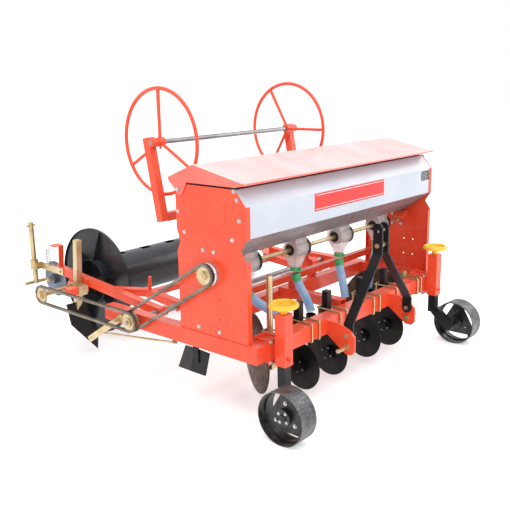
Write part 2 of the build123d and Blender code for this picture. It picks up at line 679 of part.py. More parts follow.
# ---- ridging discs ----
def ridging():
    x, y, z = ridging_disc_centre
    place = Location((x, y, z), (0, 0, ridging_disc_lead))
    disc = cross_rod(-2, 2, 0, 0, ridging_disc_radius)
    disc += cross_rod(-30, -2, 0, 0, 46) + cross_rod(2, 10, 0, 0, 30)
    disc -= cross_rod(-31, -3, 0, 0, 12 + running_clearance)
    disc = place * disc
    away = 46.0
    end = (x - away * cos(radians(ridging_disc_lead)), y - away * sin(radians(ridging_disc_lead)), z)
    shank = rod((ridging_shank_x, ridging_shank_y, 300), (ridging_shank_x, ridging_shank_y, 500),
                ridging_shank_radius)
    shank += block(ridging_shank_x - 30, ridging_shank_x + 22, ridging_shank_y - 28,
                   ridging_shank_y + 26, 255, 318)
    shank += solid_bar((ridging_shank_x, ridging_shank_y, 282), end, 20, 48)
    shank += place * cross_rod(-away - 14, -4, 0, 0, 12)
    longer = rod((ridging_shank_x, ridging_shank_y, 300), (ridging_shank_x, ridging_shank_y, 774),
                 ridging_shank_radius)
    nodes["ridging_shanks"] = [shank, mirrored(shank + longer)]
    nodes["ridging_disc_right"] = [disc]
    nodes["ridging_disc_left"] = [mirrored(disc)]


# ---- plates and arms under the side beams ----
def under_beams():
    x = -(half_width - 58)
    wing = side_plate(x - 4, x + 4, [(392, 322), (505, 328), (545, 182), (430, 182)])
    far = side_plate(x - 4, x + 4, [(505, 328), (606, 316), (682, 166), (545, 182)])
    far = far.rotate(Axis((x, 505, 328), (0, 40, -146)), 14)
    hanger = block(x - 12, x - 4, 470, 510, 250, frame_bottom)
    plate = wing + far + hanger
    nodes["ridge_plates"] = both(plate)

    outer = -half_width
    bar = solid_bar((outer - 13, 1045, 418), (outer - 13, 1392, 198), 8, 38)
    bar = bar - cross_rod(outer - 20, outer, 1362, 217, 7)
    pin = cross_rod(outer - 24, outer, 1085, 393, 8)
    bar = bar + pin + cross_rod(outer - 24, outer - 17, 1085, 393, 14)
    lug = side_plate(outer + 14, outer + 22, [(600, frame_bottom), (650, frame_bottom), (632, 338),
                                              (615, 338)])
    tie = rod((outer + 4, 1290, 262), (outer + 4, 625, 350), 6)
    tie += cross_rod(outer + 4, outer + 14, 625, 350, 8)
    tie += cross_rod(outer - 9, outer + 4, 1290, 262, 8)
    nodes["film_arms"] = both(bar + tie + lug)


# ---- rear unit ----
def tilted(piece):
    return piece.rotate(Axis((0, pivot_y, pivot_height), (1, 0, 0)), arm_tilt)


def tilted_point(y, z):
    turn = radians(arm_tilt)
    dy = y - pivot_y
    dz = z - pivot_height
    return (pivot_y + dy * cos(turn) - dz * sin(turn), pivot_height + dy * sin(turn) + dz * cos(turn))


def untilted_point(y, z):
    turn = radians(-arm_tilt)
    dy = y - pivot_y
    dz = z - pivot_height
    return (pivot_y + dy * cos(turn) - dz * sin(turn), pivot_height + dy * sin(turn) + dz * cos(turn))


def rear_unit():
    half = arm_size / 2
    shaft = cross_rod(-side_inner - side_beam_width - 4, side_inner + side_beam_width + 4, pivot_y,
                      pivot_height, pivot_radius)
    stud = cross_rod(outer_chain_x - 22, -half_width - 4, pivot_y, pivot_height, shaft_radius)
    nodes["pivot_shaft"] = [shaft + stud]

    bore = pivot_radius + running_clearance
    y_end = pivot_y + arm_length
    sleeve_r = pivot_radius + 11
    arm = cross_rod(arm_x - 34, arm_x + 34, pivot_y, pivot_height, sleeve_r)
    arm += block(arm_x - half, arm_x + half, pivot_y, y_end, pivot_height - half, pivot_height + half)
    arm -= block(arm_x - half + 4, arm_x + half - 4, pivot_y + 50, y_end, pivot_height - half + 4,
                 pivot_height + half - 4)
    arm -= cross_rod(arm_x - 50, arm_x + 50, pivot_y, pivot_height, bore)
    inner = cross_rod(brace_x - 34, brace_x + 34, pivot_y, pivot_height, sleeve_r)
    corner_y = 1253.0
    inner += block(brace_x - half, brace_x + half, pivot_y, corner_y, pivot_height - half,
                   pivot_height + half)
    inner -= cross_rod(brace_x - 50, brace_x + 50, pivot_y, pivot_height, bore)
    diagonal = solid_bar((brace_x, corner_y - 30, pivot_height), (arm_x, corner_y + 150, pivot_height),
                         46, 46)
    diagonal -= block(brace_x - half, brace_x + half, pivot_y, corner_y, pivot_height - half - 1,
                      pivot_height + half + 1)
    diagonal -= block(arm_x - half, arm_x + 90, pivot_y, y_end, pivot_height - half - 1,
                      pivot_height + half + 1)
    peg = rod((brace_x, corner_y - 45, pivot_height + half), (brace_x, corner_y - 45,
              pivot_height + half + 86), 11)
    spreader = hollow_beam(-brace_x + half, brace_x - half, corner_y - 75, corner_y - 35,
                           pivot_height - 20, pivot_height + 20, "x")
    stub_y = 1602.0
    stub = block(arm_x + half, arm_x + half + 150, stub_y, stub_y + 50, pivot_height - 62,
                 pivot_height - 12)
    stub += block(arm_x + half, arm_x + half + 10, stub_y, stub_y + 50, pivot_height - 62,
                  pivot_height + half)
    tower_y = y_end - 42
    tower = block(arm_x - 12, arm_x + 24, tower_y - 8, tower_y, pivot_height + half, pivot_height + half + 152)
    tower += block(arm_x - 12, arm_x + 62, tower_y, tower_y + 50, pivot_height + half + 146,
                   pivot_height + half + 152)
    side_pieces = [arm, inner, diagonal, peg, stub, tower]
    left = [tilted(mirrored(piece)) for piece in side_pieces]
    right = [tilted(piece) for piece in side_pieces]
    nodes["rear_frame"] = left + right + [tilted(spreader)]

    shank_y = stub_y + 50 + shank_size / 2
    s = shank_size / 2
    shank = block(shovel_x - s, shovel_x + s, shank_y - s, shank_y + s, pivot_height - 250, pivot_height + 285)
    x0 = shovel_x - 22
    x1 = shovel_x + 46
    clamp = block(x0, x1, stub_y - 6, stub_y, pivot_height - 72, pivot_height - 6)
    clamp += block(x0, x1, stub_y - 6, shank_y + s + 8, pivot_height - 12, pivot_height - 4)
    clamp += block(x0, x1, shank_y + s, shank_y + s + 8, pivot_height - 72, pivot_height - 4)
    clamp += front_bolt(shovel_x, stub_y - 6, pivot_height - 38, 8, 8)
    clamp -= block(shovel_x - s, shovel_x + s, shank_y - s, shank_y + s, pivot_height - 250,
                   pivot_height + 285)
    pieces = [shank, clamp]
    nodes["shovel_shanks"] = [tilted(p) for p in pieces] + [tilted(mirrored(p)) for p in pieces]

    sy, sz = tilted_point(shank_y - s, pivot_height - 250)
    top = sz + 118
    lean = 0.30
    chevron = [(-92, 20), (-45, 0), (78, 52), (78, 60), (-45, 8), (-92, 28)]
    base = Plane(origin=(shovel_x, sy - 16, top), x_dir=(1, 0, 0), z_dir=(0, -lean, -1))
    blade = extrude(base * make_face(Polyline(*[(x, -v) for x, v in chevron], close=True)), top + 120)
    outline = [(shovel_x - 90, top - 4), (shovel_x + 74, top - 4), (shovel_x + 74, 215),
               (shovel_x - 45, shovel_tip), (shovel_x - 90, 125)]
    blade &= front_plate(1200, 1900, outline)
    blade -= tilted(shank)
    nodes["shovels"] = both(blade)

    nodes["drum_bearings"] = []
    for side in (1, -1):
        holder = cross_pipe(arm_x - 20, arm_x + 20, drum_y, drum_height, 46,
                            drum_axle_radius + running_clearance)
        ay, az = untilted_point(drum_y, drum_height)
        hang = block(arm_x - 6, arm_x + 6, ay - 34, ay + 34, az + 20, pivot_height - half)
        hang = tilted(hang) - cross_rod(arm_x - 30, arm_x + 30, drum_y, drum_height, 40)
        piece = holder + hang
        nodes["drum_bearings"].append(piece if side > 0 else mirrored(piece))


def drum():
    shell_end = drum_half_length
    inner = drum_radius - drum_wall
    shell = cross_pipe(-shell_end, shell_end, drum_y, drum_height, drum_radius, inner)
    for x in (-360, -120, 120, 360):
        shell -= block(x - 42, x + 42, drum_y - 30, drum_y + 30, drum_height, drum_height + 200)
        shell -= block(x + 78, x + 162, drum_y - 30, drum_y + 30, drum_height - 200, drum_height)
    far = shell_end + drum_ring_width
    middle = drum_wall / 2
    side = cross_pipe(shell_end, far, drum_y, drum_height, drum_ring_radius, drum_ring_radius - drum_wall)
    side += cross_pipe(shell_end - drum_wall, shell_end + 1, drum_y, drum_height, drum_ring_radius,
                       drum_radius - middle)
    side += cross_pipe(shell_end - 1, shell_end + drum_end_length, drum_y, drum_height, drum_radius, inner)
    rim = drum_height + drum_ring_radius - middle
    foot = drum_height + drum_radius - middle
    vane = front_plate(drum_y - 2, drum_y + 2, [(shell_end - 1, foot), (shell_end + drum_end_length - 5, foot),
                                                (far - 1, rim), (shell_end - 1, rim)])
    for step in range(6):
        side += vane.rotate(Axis((0, drum_y, drum_height), (1, 0, 0)), step * 60 + 12)
    plate = cross_pipe(shell_end - 60, shell_end - 54, drum_y, drum_height, inner + middle,
                       drum_axle_radius)
    nodes["drum"] = [shell + side + mirrored(side) + plate + mirrored(plate)]

    hub = (outer_chain_x - 18, outer_chain_x + 14)
    wheel = sprocket(outer_chain_x, drum_y, drum_height, 26, hub, drum_axle_radius)
    axle = cross_rod(hub[0] - 6, arm_x + 30, drum_y, drum_height, drum_axle_radius)
    nodes["drum_axle"] = [axle, wheel]


def chains():
    low = outer_chain_x - 14
    wheel = sprocket(outer_chain_x, pivot_y, pivot_height, 27, (low, inner_chain_x + 14),
                     shaft_radius + running_clearance)
    wheel += sprocket(inner_chain_x, pivot_y, pivot_height, 27, (low, inner_chain_x + 14),
                      shaft_radius + running_clearance)
    nodes["idler_sprocket"] = [wheel]
    nodes["drive_chain_front"] = chain_band(inner_chain_x, (pivot_y, pivot_height), (shaft_y, shaft_height))
    nodes["drive_chain_rear"] = chain_band(outer_chain_x, (drum_y, drum_height), (pivot_y, pivot_height))


# ---- covering discs ----
cover_pivot_local = (pivot_y + arm_length - 70.0, pivot_height)
cover_rod_y = 2166.0
cover_rod_x = 822.0
cover_disc_centre = (708.0, 2092.0, 424.0)
cover_disc_radius = 126.0
cover_spring_y = 2012.0
cover_spring_x = arm_x + 44.0
cover_spring_bottom = 560.0
cover_spring_top = 672.0


def cover_arm():
    py, pz = tilted_point(*cover_pivot_local)
    half = arm_size / 2
    plate_low = pz - 24
    plate_high = pz + 24
    inner = arm_x + half + 1.0
    plate = side_plate(inner, inner + 6, [(py - 30, plate_low), (py - 30, plate_high), (cover_rod_y - 24, plate_high + 12),
                                          (cover_rod_y - 24, plate_low + 12)])
    sleeve = pipe((cover_rod_x, cover_rod_y, pz - 12), (cover_rod_x, cover_rod_y, pz + 50), 28, 17.5)
    plate += sleeve
    plate += block(inner, cover_rod_x + 10, cover_rod_y - 44, cover_rod_y - 22, plate_low + 14, plate_high + 10)
    shelf = block(inner, cover_spring_x + 20, cover_spring_y - 22, cover_spring_y + 22,
                  cover_spring_bottom - 6, cover_spring_bottom)
    plate += shelf
    plate -= cross_rod(inner - 1, inner + 8, py, pz, 8 + running_clearance)
    plate -= rod((cover_rod_x, cover_rod_y, 380), (cover_rod_x, cover_rod_y, 860), 17.5)
    upright = rod((cover_rod_x, cover_rod_y, 404), (cover_rod_x, cover_rod_y, 838), 17.5)
    upright += cross_rod(cover_rod_x - 34, cover_rod_x + 34, cover_rod_y, 816, 6)
    x, y, z = cover_disc_centre
    bar_z = 414.0
    foot = cross_rod(cover_rod_x - 84, cover_rod_x + 84, cover_rod_y, bar_z, 12)
    toe = rod((cover_rod_x - 72, cover_rod_y, bar_z), (x + 52, y, z), 11)
    stub = rod((x + 54, y, z), (x + 4, y, z), 10)
    return plate + upright + foot + toe + stub


def covering():
    arm = cover_arm()
    nodes["cover_arm_right"] = [arm]
    nodes["cover_arm_left"] = [mirrored(arm)]
    x, y, z = cover_disc_centre
    disc = cross_rod(x - 2, x + 2, y, z, cover_disc_radius)
    disc += cross_rod(x + 2, x + 34, y, z, 34)
    disc -= cross_rod(x + 1, x + 36, y, z, 10 + running_clearance)
    nodes["cover_disc_right"] = [disc]
    nodes["cover_disc_left"] = [mirrored(disc)]

    coil_radius = 15.0
    wire = 2.5
    height = cover_spring_top - cover_spring_bottom - 2 * wire - 1.0
    helix = Helix(pitch=height / 8, height=height, radius=coil_radius)
    section = Plane(origin=helix @ 0, z_dir=helix % 0) * Circle(wire)
    spring = sweep(section, helix, is_frenet=True)
    spring = Pos(cover_spring_x, cover_spring_y, cover_spring_bottom + wire + 0.5) * spring
    nodes["cover_spring_right"] = [spring]
    nodes["cover_spring_left"] = [mirrored(spring)]


# ---- reel ----
def reel():
    half = reel_post_size / 2
    pieces = []
    lean = 0.19
    top = reel_height + 26
    for x in (reel_left_x - 52, reel_right_x + 52):
        low_y = reel_y - lean * (reel_height - reel_beam_height + 25) + reel_post_back
        high_y = reel_y + lean * (top - reel_height) + reel_post_back
        post = solid_bar((x, low_y, reel_beam_height - 25), (x, high_y, top), reel_post_size, reel_post_size)
        post += cross_rod(x - 25, x + 25, reel_y, reel_height, reel_shaft_radius + 12)
        post += block(x - 25, x + 25, reel_y, reel_y + 20, reel_height - 20, reel_height + 20)
        post -= cross_rod(x - 40, x + 40, reel_y, reel_height, reel_shaft_radius + running_clearance)
        pieces.append(post)
    beam_y = reel_y - lean * (reel_height - reel_beam_height) + reel_post_back
    beam = block(reel_left_x - 52 + half, reel_right_x + 52 - half, beam_y - 25, beam_y + 25,
                 reel_beam_height - 25, reel_beam_height + 25)
    beam -= block(reel_left_x - 52 + half, reel_right_x + 52 - half, beam_y - 21, beam_y + 21,
                  reel_beam_height - 21, reel_beam_height + 21)
    beam -= pieces[0]
    beam -= pieces[1]
    for x in (-350, 350):
        strut = solid_bar((x, cross_beam_y + 10, frame_top), (x, beam_y, reel_beam_height - 25), 50, 44)
        strut -= block(x - 60, x + 60, 500, 1000, frame_top - 90, frame_top)
        strut -= block(x - 60, x + 60, 800, 1100, reel_beam_height - 25, reel_beam_height + 60)
        pieces.append(strut)
    nodes["reel_frame"] = pieces + [beam]

    shaft = cross_rod(reel_left_x - 78, reel_right_x + 78, reel_y, reel_height, reel_shaft_radius)
    nodes["reel_shaft"] = [shaft]
    rings = []
    for x, first in ((reel_left_x, 90), (reel_right_x, 60)):
        plane = Plane(origin=(x, reel_y, reel_height), x_dir=(0, 1, 0), z_dir=(1, 0, 0))
        ring = plane * Torus(reel_ring_radius, reel_rod_radius)
        hub = cross_rod(x - 24, x + 24, reel_y, reel_height, 27)
        for step in range(3):
            turn = radians(first + 120 * step)
            tip = (x, reel_y + reel_ring_radius * cos(turn), reel_height + reel_ring_radius * sin(turn))
            hub += rod((x, reel_y, reel_height), tip, 10)
        hub += rod((x, reel_y, reel_height - 42), (x, reel_y, reel_height), 7)
        hub -= cross_rod(x - 30, x + 30, reel_y, reel_height, reel_shaft_radius)
        rings.append(ring + hub)
    nodes["reel_rings"] = rings


# ---- bolts that hold panels, hopper and bearings ----
def bolts():
    face = -panel_outer
    places = [(131, 1247), (112, 1205), (537, 1107), (100, 1103), (494, 1001), (150, 1000),
              (360, 919), (282, 920), (412, 490), (256, 490)]
    pieces = [bolt(face, y, z, -1) for y, z in places]
    bosses = []
    for turn in (45, 135, 225, 315):
        y = shaft_y + 48 * cos(radians(turn))
        z = shaft_height + 48 * sin(radians(turn))
        bosses.append(bolt(face - bearing_depth, y, z, -1, 5, 5))
        bosses.append(mirrored(bolt(-inside, y, z, 1, 6, 8)))
    hinge = cross_rod(-panel_outer - lid_gap - sheet - 2, -inside, lid_pivot_y, lid_pivot_height,
                      lid_pivot_radius)
    hinge += bolt(-panel_outer - lid_gap - sheet - 2, lid_pivot_y, lid_pivot_height, -1)
    x = inside - 62
    z = shaft_height + knob_rise
    knob_pin = rod((x, shaft_y - 92, z), (x, shaft_y - 6, z), 8)
    knob_pin += block(x - 12, inside, shaft_y - 14, shaft_y - 6, z - 12, z + 12)
    both_sides = [mirrored(piece) for piece in pieces]
    nodes["frame_bolts"] = pieces + both_sides + bosses + both(hinge) + [knob_pin]


main_frame()
hitch()
panels()
hopper()
lid()
seed_drive()
for number, (meter, row) in enumerate(zip(meter_x, row_x), 1):
    hose(f"seed_hose_{number}", meter, row)
openers()
gauge_unit()
ridging()
under_beams()
rear_unit()
drum()
chains()
covering()
reel()
bolts()

everything = Compound(children=[Compound(children=[p for p in pieces]) for pieces in nodes.values()])
bounds = everything.bounding_box()
origin = Vector((bounds.min.X + bounds.max.X) / 2, (bounds.min.Y + bounds.max.Y) / 2, bounds.min.Z)
print("size", bounds.size, "origin", origin)


def solids_of(pieces):
    found = []
    for piece in pieces:
        found += piece.solids()
    return found


if __name__ == "__main__":
    for name, pieces in nodes.items():
        moved = [solid.moved(Location(-origin)) for solid in solids_of(pieces)]
        export_step(Compound(children=moved), f"parts/{name}.step")
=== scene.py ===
import bpy
import bmesh
import json
import math
from mathutils import Matrix, Vector

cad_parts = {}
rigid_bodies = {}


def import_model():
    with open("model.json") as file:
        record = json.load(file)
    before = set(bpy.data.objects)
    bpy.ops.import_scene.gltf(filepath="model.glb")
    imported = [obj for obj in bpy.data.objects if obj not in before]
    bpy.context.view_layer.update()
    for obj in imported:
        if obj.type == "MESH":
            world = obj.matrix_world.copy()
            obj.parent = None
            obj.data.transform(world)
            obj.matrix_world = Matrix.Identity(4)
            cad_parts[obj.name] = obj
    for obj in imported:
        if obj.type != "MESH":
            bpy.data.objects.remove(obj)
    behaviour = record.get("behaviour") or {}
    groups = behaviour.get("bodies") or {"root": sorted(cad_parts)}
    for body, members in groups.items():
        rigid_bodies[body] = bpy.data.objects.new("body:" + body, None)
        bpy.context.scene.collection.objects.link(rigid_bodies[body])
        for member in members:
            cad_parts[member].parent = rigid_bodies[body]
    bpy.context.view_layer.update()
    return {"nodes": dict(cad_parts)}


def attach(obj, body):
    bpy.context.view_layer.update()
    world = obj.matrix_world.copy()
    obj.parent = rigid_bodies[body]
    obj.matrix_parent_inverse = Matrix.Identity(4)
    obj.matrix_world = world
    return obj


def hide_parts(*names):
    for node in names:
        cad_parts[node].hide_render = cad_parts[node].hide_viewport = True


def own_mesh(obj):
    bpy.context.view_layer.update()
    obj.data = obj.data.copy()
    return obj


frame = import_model()
nodes = frame["nodes"]
print("frame loaded:", len(nodes), "nodes")

# the frame's origin, in metres from the front beam's front centre on the ground
middle = Vector((-0.0245, 0.94775, 0.0))


def at(x, y, z):  # millimetres across, back from the beam's face and up, as the frame's metres
    return Vector((x, y, z)) / 1000 - middle


def addToScene(obj):
    bpy.context.scene.collection.objects.link(obj)
    return obj


camera = {
    "x": -3572.85, "y": -2317.2, "z": 1801.77,  # millimetres
    "azimuth": -48.64, "pitch": 13.71, "roll": -1.1, "lens": 52.17,
}
lights = {
    "skyPanel": {"place": (-1.0, -1.5, 6.0), "aim": (0, 0, 0.6), "size": 6.0, "watts": 150},
    "frontPanel": {"place": (-4.5, -4.5, 3.6), "aim": (0, 0, 0.7), "size": 3.5, "watts": 60},
    "sidePanel": {"place": (4.5, -2.5, 3.2), "aim": (0, 0, 0.7), "size": 3.0, "watts": 70},
}
studio = {"room": 1.0, "reach": 30, "floorColour": (0.92, 0.92, 0.92), "floorGlow": 0.35, "floorRough": 0.9}


def setUpCamera():
    a, e, r = (math.radians(camera[k]) for k in ("azimuth", "pitch", "roll"))
    forward = Vector((-math.sin(a) * math.cos(e), math.cos(a) * math.cos(e), -math.sin(e)))
    level = Vector((math.cos(a), math.sin(a), 0))
    upward = level.cross(forward)
    right = level * math.cos(r) + upward * math.sin(r)
    up = upward * math.cos(r) - level * math.sin(r)
    data = bpy.data.cameras.new("yardCamera")
    data.lens = camera["lens"]
    data.sensor_width = 36
    data.clip_end = 100
    obj = addToScene(bpy.data.objects.new("yardCamera", data))
    turn = Matrix((right, up, -forward)).transposed().to_4x4()
    obj.matrix_world = Matrix.Translation(at(camera["x"], camera["y"], camera["z"])) @ turn
    bpy.context.scene.camera = obj


def areaLight(name, place, aim, size, watts):
    data = bpy.data.lights.new(name, "AREA")
    data.shape = "DISK"
    data.size = size
    data.energy = watts
    obj = addToScene(bpy.data.objects.new(name, data))
    obj.location = place
    obj.rotation_euler = (Vector(aim) - Vector(place)).to_track_quat("-Z", "Y").to_euler()


def setUpStudio():
    for name, values in lights.items():
        areaLight(name, **values)
    world = bpy.data.worlds.new("paleRoom")
    world.use_nodes = True
    backdrop = world.node_tree.nodes["Background"]
    backdrop.inputs["Color"].default_value = (1, 1, 1, 1)
    backdrop.inputs["Strength"].default_value = studio["room"]
    bpy.context.scene.world = world
    bpy.context.scene.view_settings.view_transform = "Standard"
    far = studio["reach"]
    mesh = bpy.data.meshes.new("studioFloor")
    mesh.from_pydata([(-far, -far, 0), (far, -far, 0), (far, far, 0), (-far, far, 0)], [], [(0, 1, 2, 3)])
    floor = addToScene(bpy.data.objects.new("studioFloor", mesh))
    pale = bpy.data.materials.new("studioFloor")
    pale.use_nodes = True
    shader = pale.node_tree.nodes["Principled BSDF"]
    shader.inputs["Base Color"].default_value = (*studio["floorColour"], 1)
    shader.inputs["Roughness"].default_value = studio["floorRough"]
    shader.inputs["Specular IOR Level"].default_value = 0.0
    shader.inputs["Emission Color"].default_value = (1, 1, 1, 1)
    shader.inputs["Emission Strength"].default_value = studio["floorGlow"]
    mesh.materials.append(pale)


setUpCamera()
setUpStudio()
print("camera and studio ready")


class Finish:
    def __init__(self, name):
        self.material = bpy.data.materials.new(name)
        self.material.use_nodes = True
        self.tree = self.material.node_tree
        self.shader = self.tree.nodes["Principled BSDF"]
        self.place = self.tree.nodes.new("ShaderNodeTexCoord").outputs["Object"]

    def link(self, a, b):
        self.tree.links.new(a, b)

    def feed(self, source, name):
        self.link(source, self.shader.inputs[name])

    def noise(self, scale, detail=4, stretch=None, rough=0.55):
        node = self.tree.nodes.new("ShaderNodeTexNoise")
        node.inputs["Scale"].default_value = scale
        node.inputs["Detail"].default_value = detail
        node.inputs["Roughness"].default_value = rough
        source = self.place
        if stretch:
            mapping = self.tree.nodes.new("ShaderNodeMapping")
            mapping.inputs["Scale"].default_value = stretch
            self.link(source, mapping.inputs["Vector"])
            source = mapping.outputs["Vector"]
        self.link(source, node.inputs["Vector"])
        return node.outputs["Fac"]

    def ramp(self, source, low, high, start=0.0, end=1.0):
        node = self.tree.nodes.new("ShaderNodeMapRange")
        node.inputs["From Min"].default_value = low
        node.inputs["From Max"].default_value = high
        node.inputs["To Min"].default_value = start
        node.inputs["To Max"].default_value = end
        self.link(source, node.inputs["Value"])
        return node.outputs["Result"]

    def maths(self, kind, a, b):
        node = self.tree.nodes.new("ShaderNodeMath")
        node.operation = kind
        for socket, value in zip(node.inputs, (a, b)):
            if isinstance(value, (int, float)):
                socket.default_value = value
            else:
                self.link(value, socket)
        return node.outputs[0]

    def vectorMaths(self, kind, source, value=None):
        node = self.tree.nodes.new("ShaderNodeVectorMath")
        node.operation = kind
        self.link(source, node.inputs[0])
        if value is not None:
            node.inputs[1].default_value = value
        return node.outputs["Value" if kind == "LENGTH" else "Vector"]

    def mix(self, amount, a, b):
        node = self.tree.nodes.new("ShaderNodeMix")
        node.data_type = "RGBA"
        self.link(amount, node.inputs["Factor"])
        for socket, value in ((node.inputs[6], a), (node.inputs[7], b)):
            if isinstance(value, tuple):
                socket.default_value = (*value, 1)
            else:
                self.link(value, socket)
        return node.outputs[2]

    def facingUp(self):
        geometry = self.tree.nodes.new("ShaderNodeNewGeometry")
        parts = self.tree.nodes.new("ShaderNodeSeparateXYZ")
        self.link(geometry.outputs["Normal"], parts.inputs[0])
        return parts.outputs["Z"]

    def bump(self, source, strength, distance=0.0006):
        node = self.tree.nodes.new("ShaderNodeBump")
        node.inputs["Strength"].default_value = strength
        node.inputs["Distance"].default_value = distance
        self.link(source, node.inputs["Height"])
        self.link(node.outputs["Normal"], self.shader.inputs["Normal"])

    def set(self, **values):
        for name, value in values.items():
            self.shader.inputs[name.replace("_", " ")].default_value = value


# paint: a colour and a second tone, dust and a painted sky highlight on faces that look up, chips where the
# noise passes "chips"
enamels = {
    "redEnamel": {
        "colour": (0.82, 0.078, 0.026), "tone": (0.75, 0.060, 0.020), "dustAndSheen": (0.85, 0.36, 0.28),
        "dustAndSheenAmount": 0.30, "chips": 0.76, "rough": 0.27, "coat": 0.15, "gloss": 0.35,
    },
    # lid: its top is paled almost all over, a painted highlight of the overexposed glossy top, with dusty
    # smudges
    "lidEnamel": {
        "colour": (0.82, 0.14, 0.10), "tone": (0.80, 0.11, 0.075), "dustAndSheen": (0.85, 0.57, 0.57),
        "dustAndSheenAmount": 0.92, "dustAndSheenFloor": 0.62, "chips": 0.86, "rough": 0.26, "coat": 0.5, "gloss": 0.5,
    },
    "hopperEnamel": {
        "colour": (0.53, 0.565, 0.63), "tone": (0.48, 0.515, 0.58), "dustAndSheen": (0.74, 0.75, 0.77),
        "dustAndSheenAmount": 0.2, "chips": 0.98, "rough": 0.32, "coat": 0.1, "gloss": 0.4,
        # under: painted shade for faces that look down, and its streak tone
        "under": (0.125, 0.110, 0.115), "underShadeStreak": (0.2125, 0.187, 0.1955),
    },
    "blackEnamel": {
        "colour": (0.006, 0.006, 0.007), "tone": (0.010, 0.010, 0.012), "dustAndSheen": (0.09, 0.085, 0.08),
        "dustAndSheenAmount": 0.16, "chips": 0.90, "rough": 0.34, "coat": 0.05, "gloss": 0.22,
    },
    # drum: the pale blue-grey on faces that look up is mostly a painted sky highlight
    "drumEnamel": {
        "colour": (0.009, 0.010, 0.013), "tone": (0.018, 0.020, 0.024), "dustAndSheen": (0.16, 0.17, 0.20),
        "dustAndSheenAmount": 0.30, "chips": 0.86, "rough": 0.30, "coat": 0.15, "gloss": 0.30,
    },
    "yellowEnamel": {
        "colour": (0.88, 0.54, 0.012), "tone": (0.80, 0.45, 0.010), "dustAndSheen": (0.87, 0.70, 0.35),
        "dustAndSheenAmount": 0.2, "chips": 0.82, "rough": 0.28, "coat": 0.3, "gloss": 0.4,
    },
    "orangeKnob": {
        "colour": (0.80, 0.085, 0.02), "tone": (0.72, 0.07, 0.02), "dustAndSheen": (0.8, 0.4, 0.3),
        "dustAndSheenAmount": 0.2, "chips": 0.95, "rough": 0.35, "coat": 0.1, "gloss": 0.4,
    },
}
chipColour = (0.05, 0.035, 0.03)
# noise scales, per metre
enamelScale = {
    "patches": 3.2, "shadeStreaks": 5, "smudges": 4.5, "film": 22, "chips": 55, "gloss": 14, "peel": 160,
}

# bare and plated metal: a colour and a second tone along the grain, stains where the noise passes "stains"
metals = {
    "yellowZinc": {
        "colour": (0.56, 0.42, 0.21), "tone": (0.66, 0.55, 0.36), "stain": (0.30, 0.19, 0.09),
        "stains": 0.56, "rough": 0.33, "grain": (1, 1, 1),
    },
    "brightSteel": {
        "colour": (0.64, 0.63, 0.62), "tone": (0.50, 0.49, 0.48), "stain": (0.30, 0.25, 0.20),
        "stains": 0.76, "rough": 0.26, "grain": (8, 1, 1),
    },
    "shaftSteel": {
        "colour": (0.36, 0.36, 0.37), "tone": (0.27, 0.27, 0.28), "stain": (0.30, 0.28, 0.25),
        "stains": 0.76, "rough": 0.30, "grain": (1, 4, 4),
    },
    "coverSteel": {
        "colour": (0.20, 0.23, 0.28), "tone": (0.12, 0.14, 0.18), "stain": (0.30, 0.26, 0.22),
        "stains": 0.66, "rough": 0.34, "grain": (1, 1, 1),
    },
    "discSteel": {
        "colour": (0.018, 0.018, 0.019), "tone": (0.032, 0.030, 0.029), "stain": (0.10, 0.065, 0.04),
        "stains": 0.68, "rough": 0.36, "grain": (1, 1, 1),
    },
    "brownDisc": {
        "colour": (0.10, 0.062, 0.042), "tone": (0.045, 0.036, 0.032), "stain": (0.23, 0.12, 0.06),
        "stains": 0.50, "rough": 0.45, "grain": (1, 1, 1),
    },
    "chainSteel": {
        "colour": (0.30, 0.26, 0.22), "tone": (0.15, 0.13, 0.11), "stain": (0.34, 0.24, 0.15),
        "stains": 0.50, "rough": 0.42, "grain": (1, 1, 1),
    },
    "springSteel": {
        "colour": (0.40, 0.36, 0.30), "tone": (0.24, 0.21, 0.18), "stain": (0.2, 0.12, 0.07),
        "stains": 0.6, "rough": 0.34, "grain": (1, 1, 1),
    },
}
metalScale = {"tone": 7, "stains": 26, "gloss": 60, "grain": 220}

# clamps and printed vinyl
vinyls = {
    "greenClamp": {
        "colour": (0.03, 0.32, 0.10), "tone": (0.06, 0.42, 0.15), "patches": 30, "band": (0.35, 0.65),
        "grain": 120, "relief": 0.1, "rough": 0.4,
    },
    "labelVinyl": {
        "colour": (0.72, 0.018, 0.016), "tone": (0.64, 0.022, 0.018), "patches": 8, "band": (0.4, 0.7),
        "grain": 70, "relief": 0.05, "rough": 0.32,
    },
    "whiteVinyl": {
        "colour": (0.86, 0.84, 0.83), "tone": (0.78, 0.77, 0.76), "patches": 8, "band": (0.4, 0.7),
        "grain": 70, "relief": 0.05, "rough": 0.35,
    },
}
finishes = {}


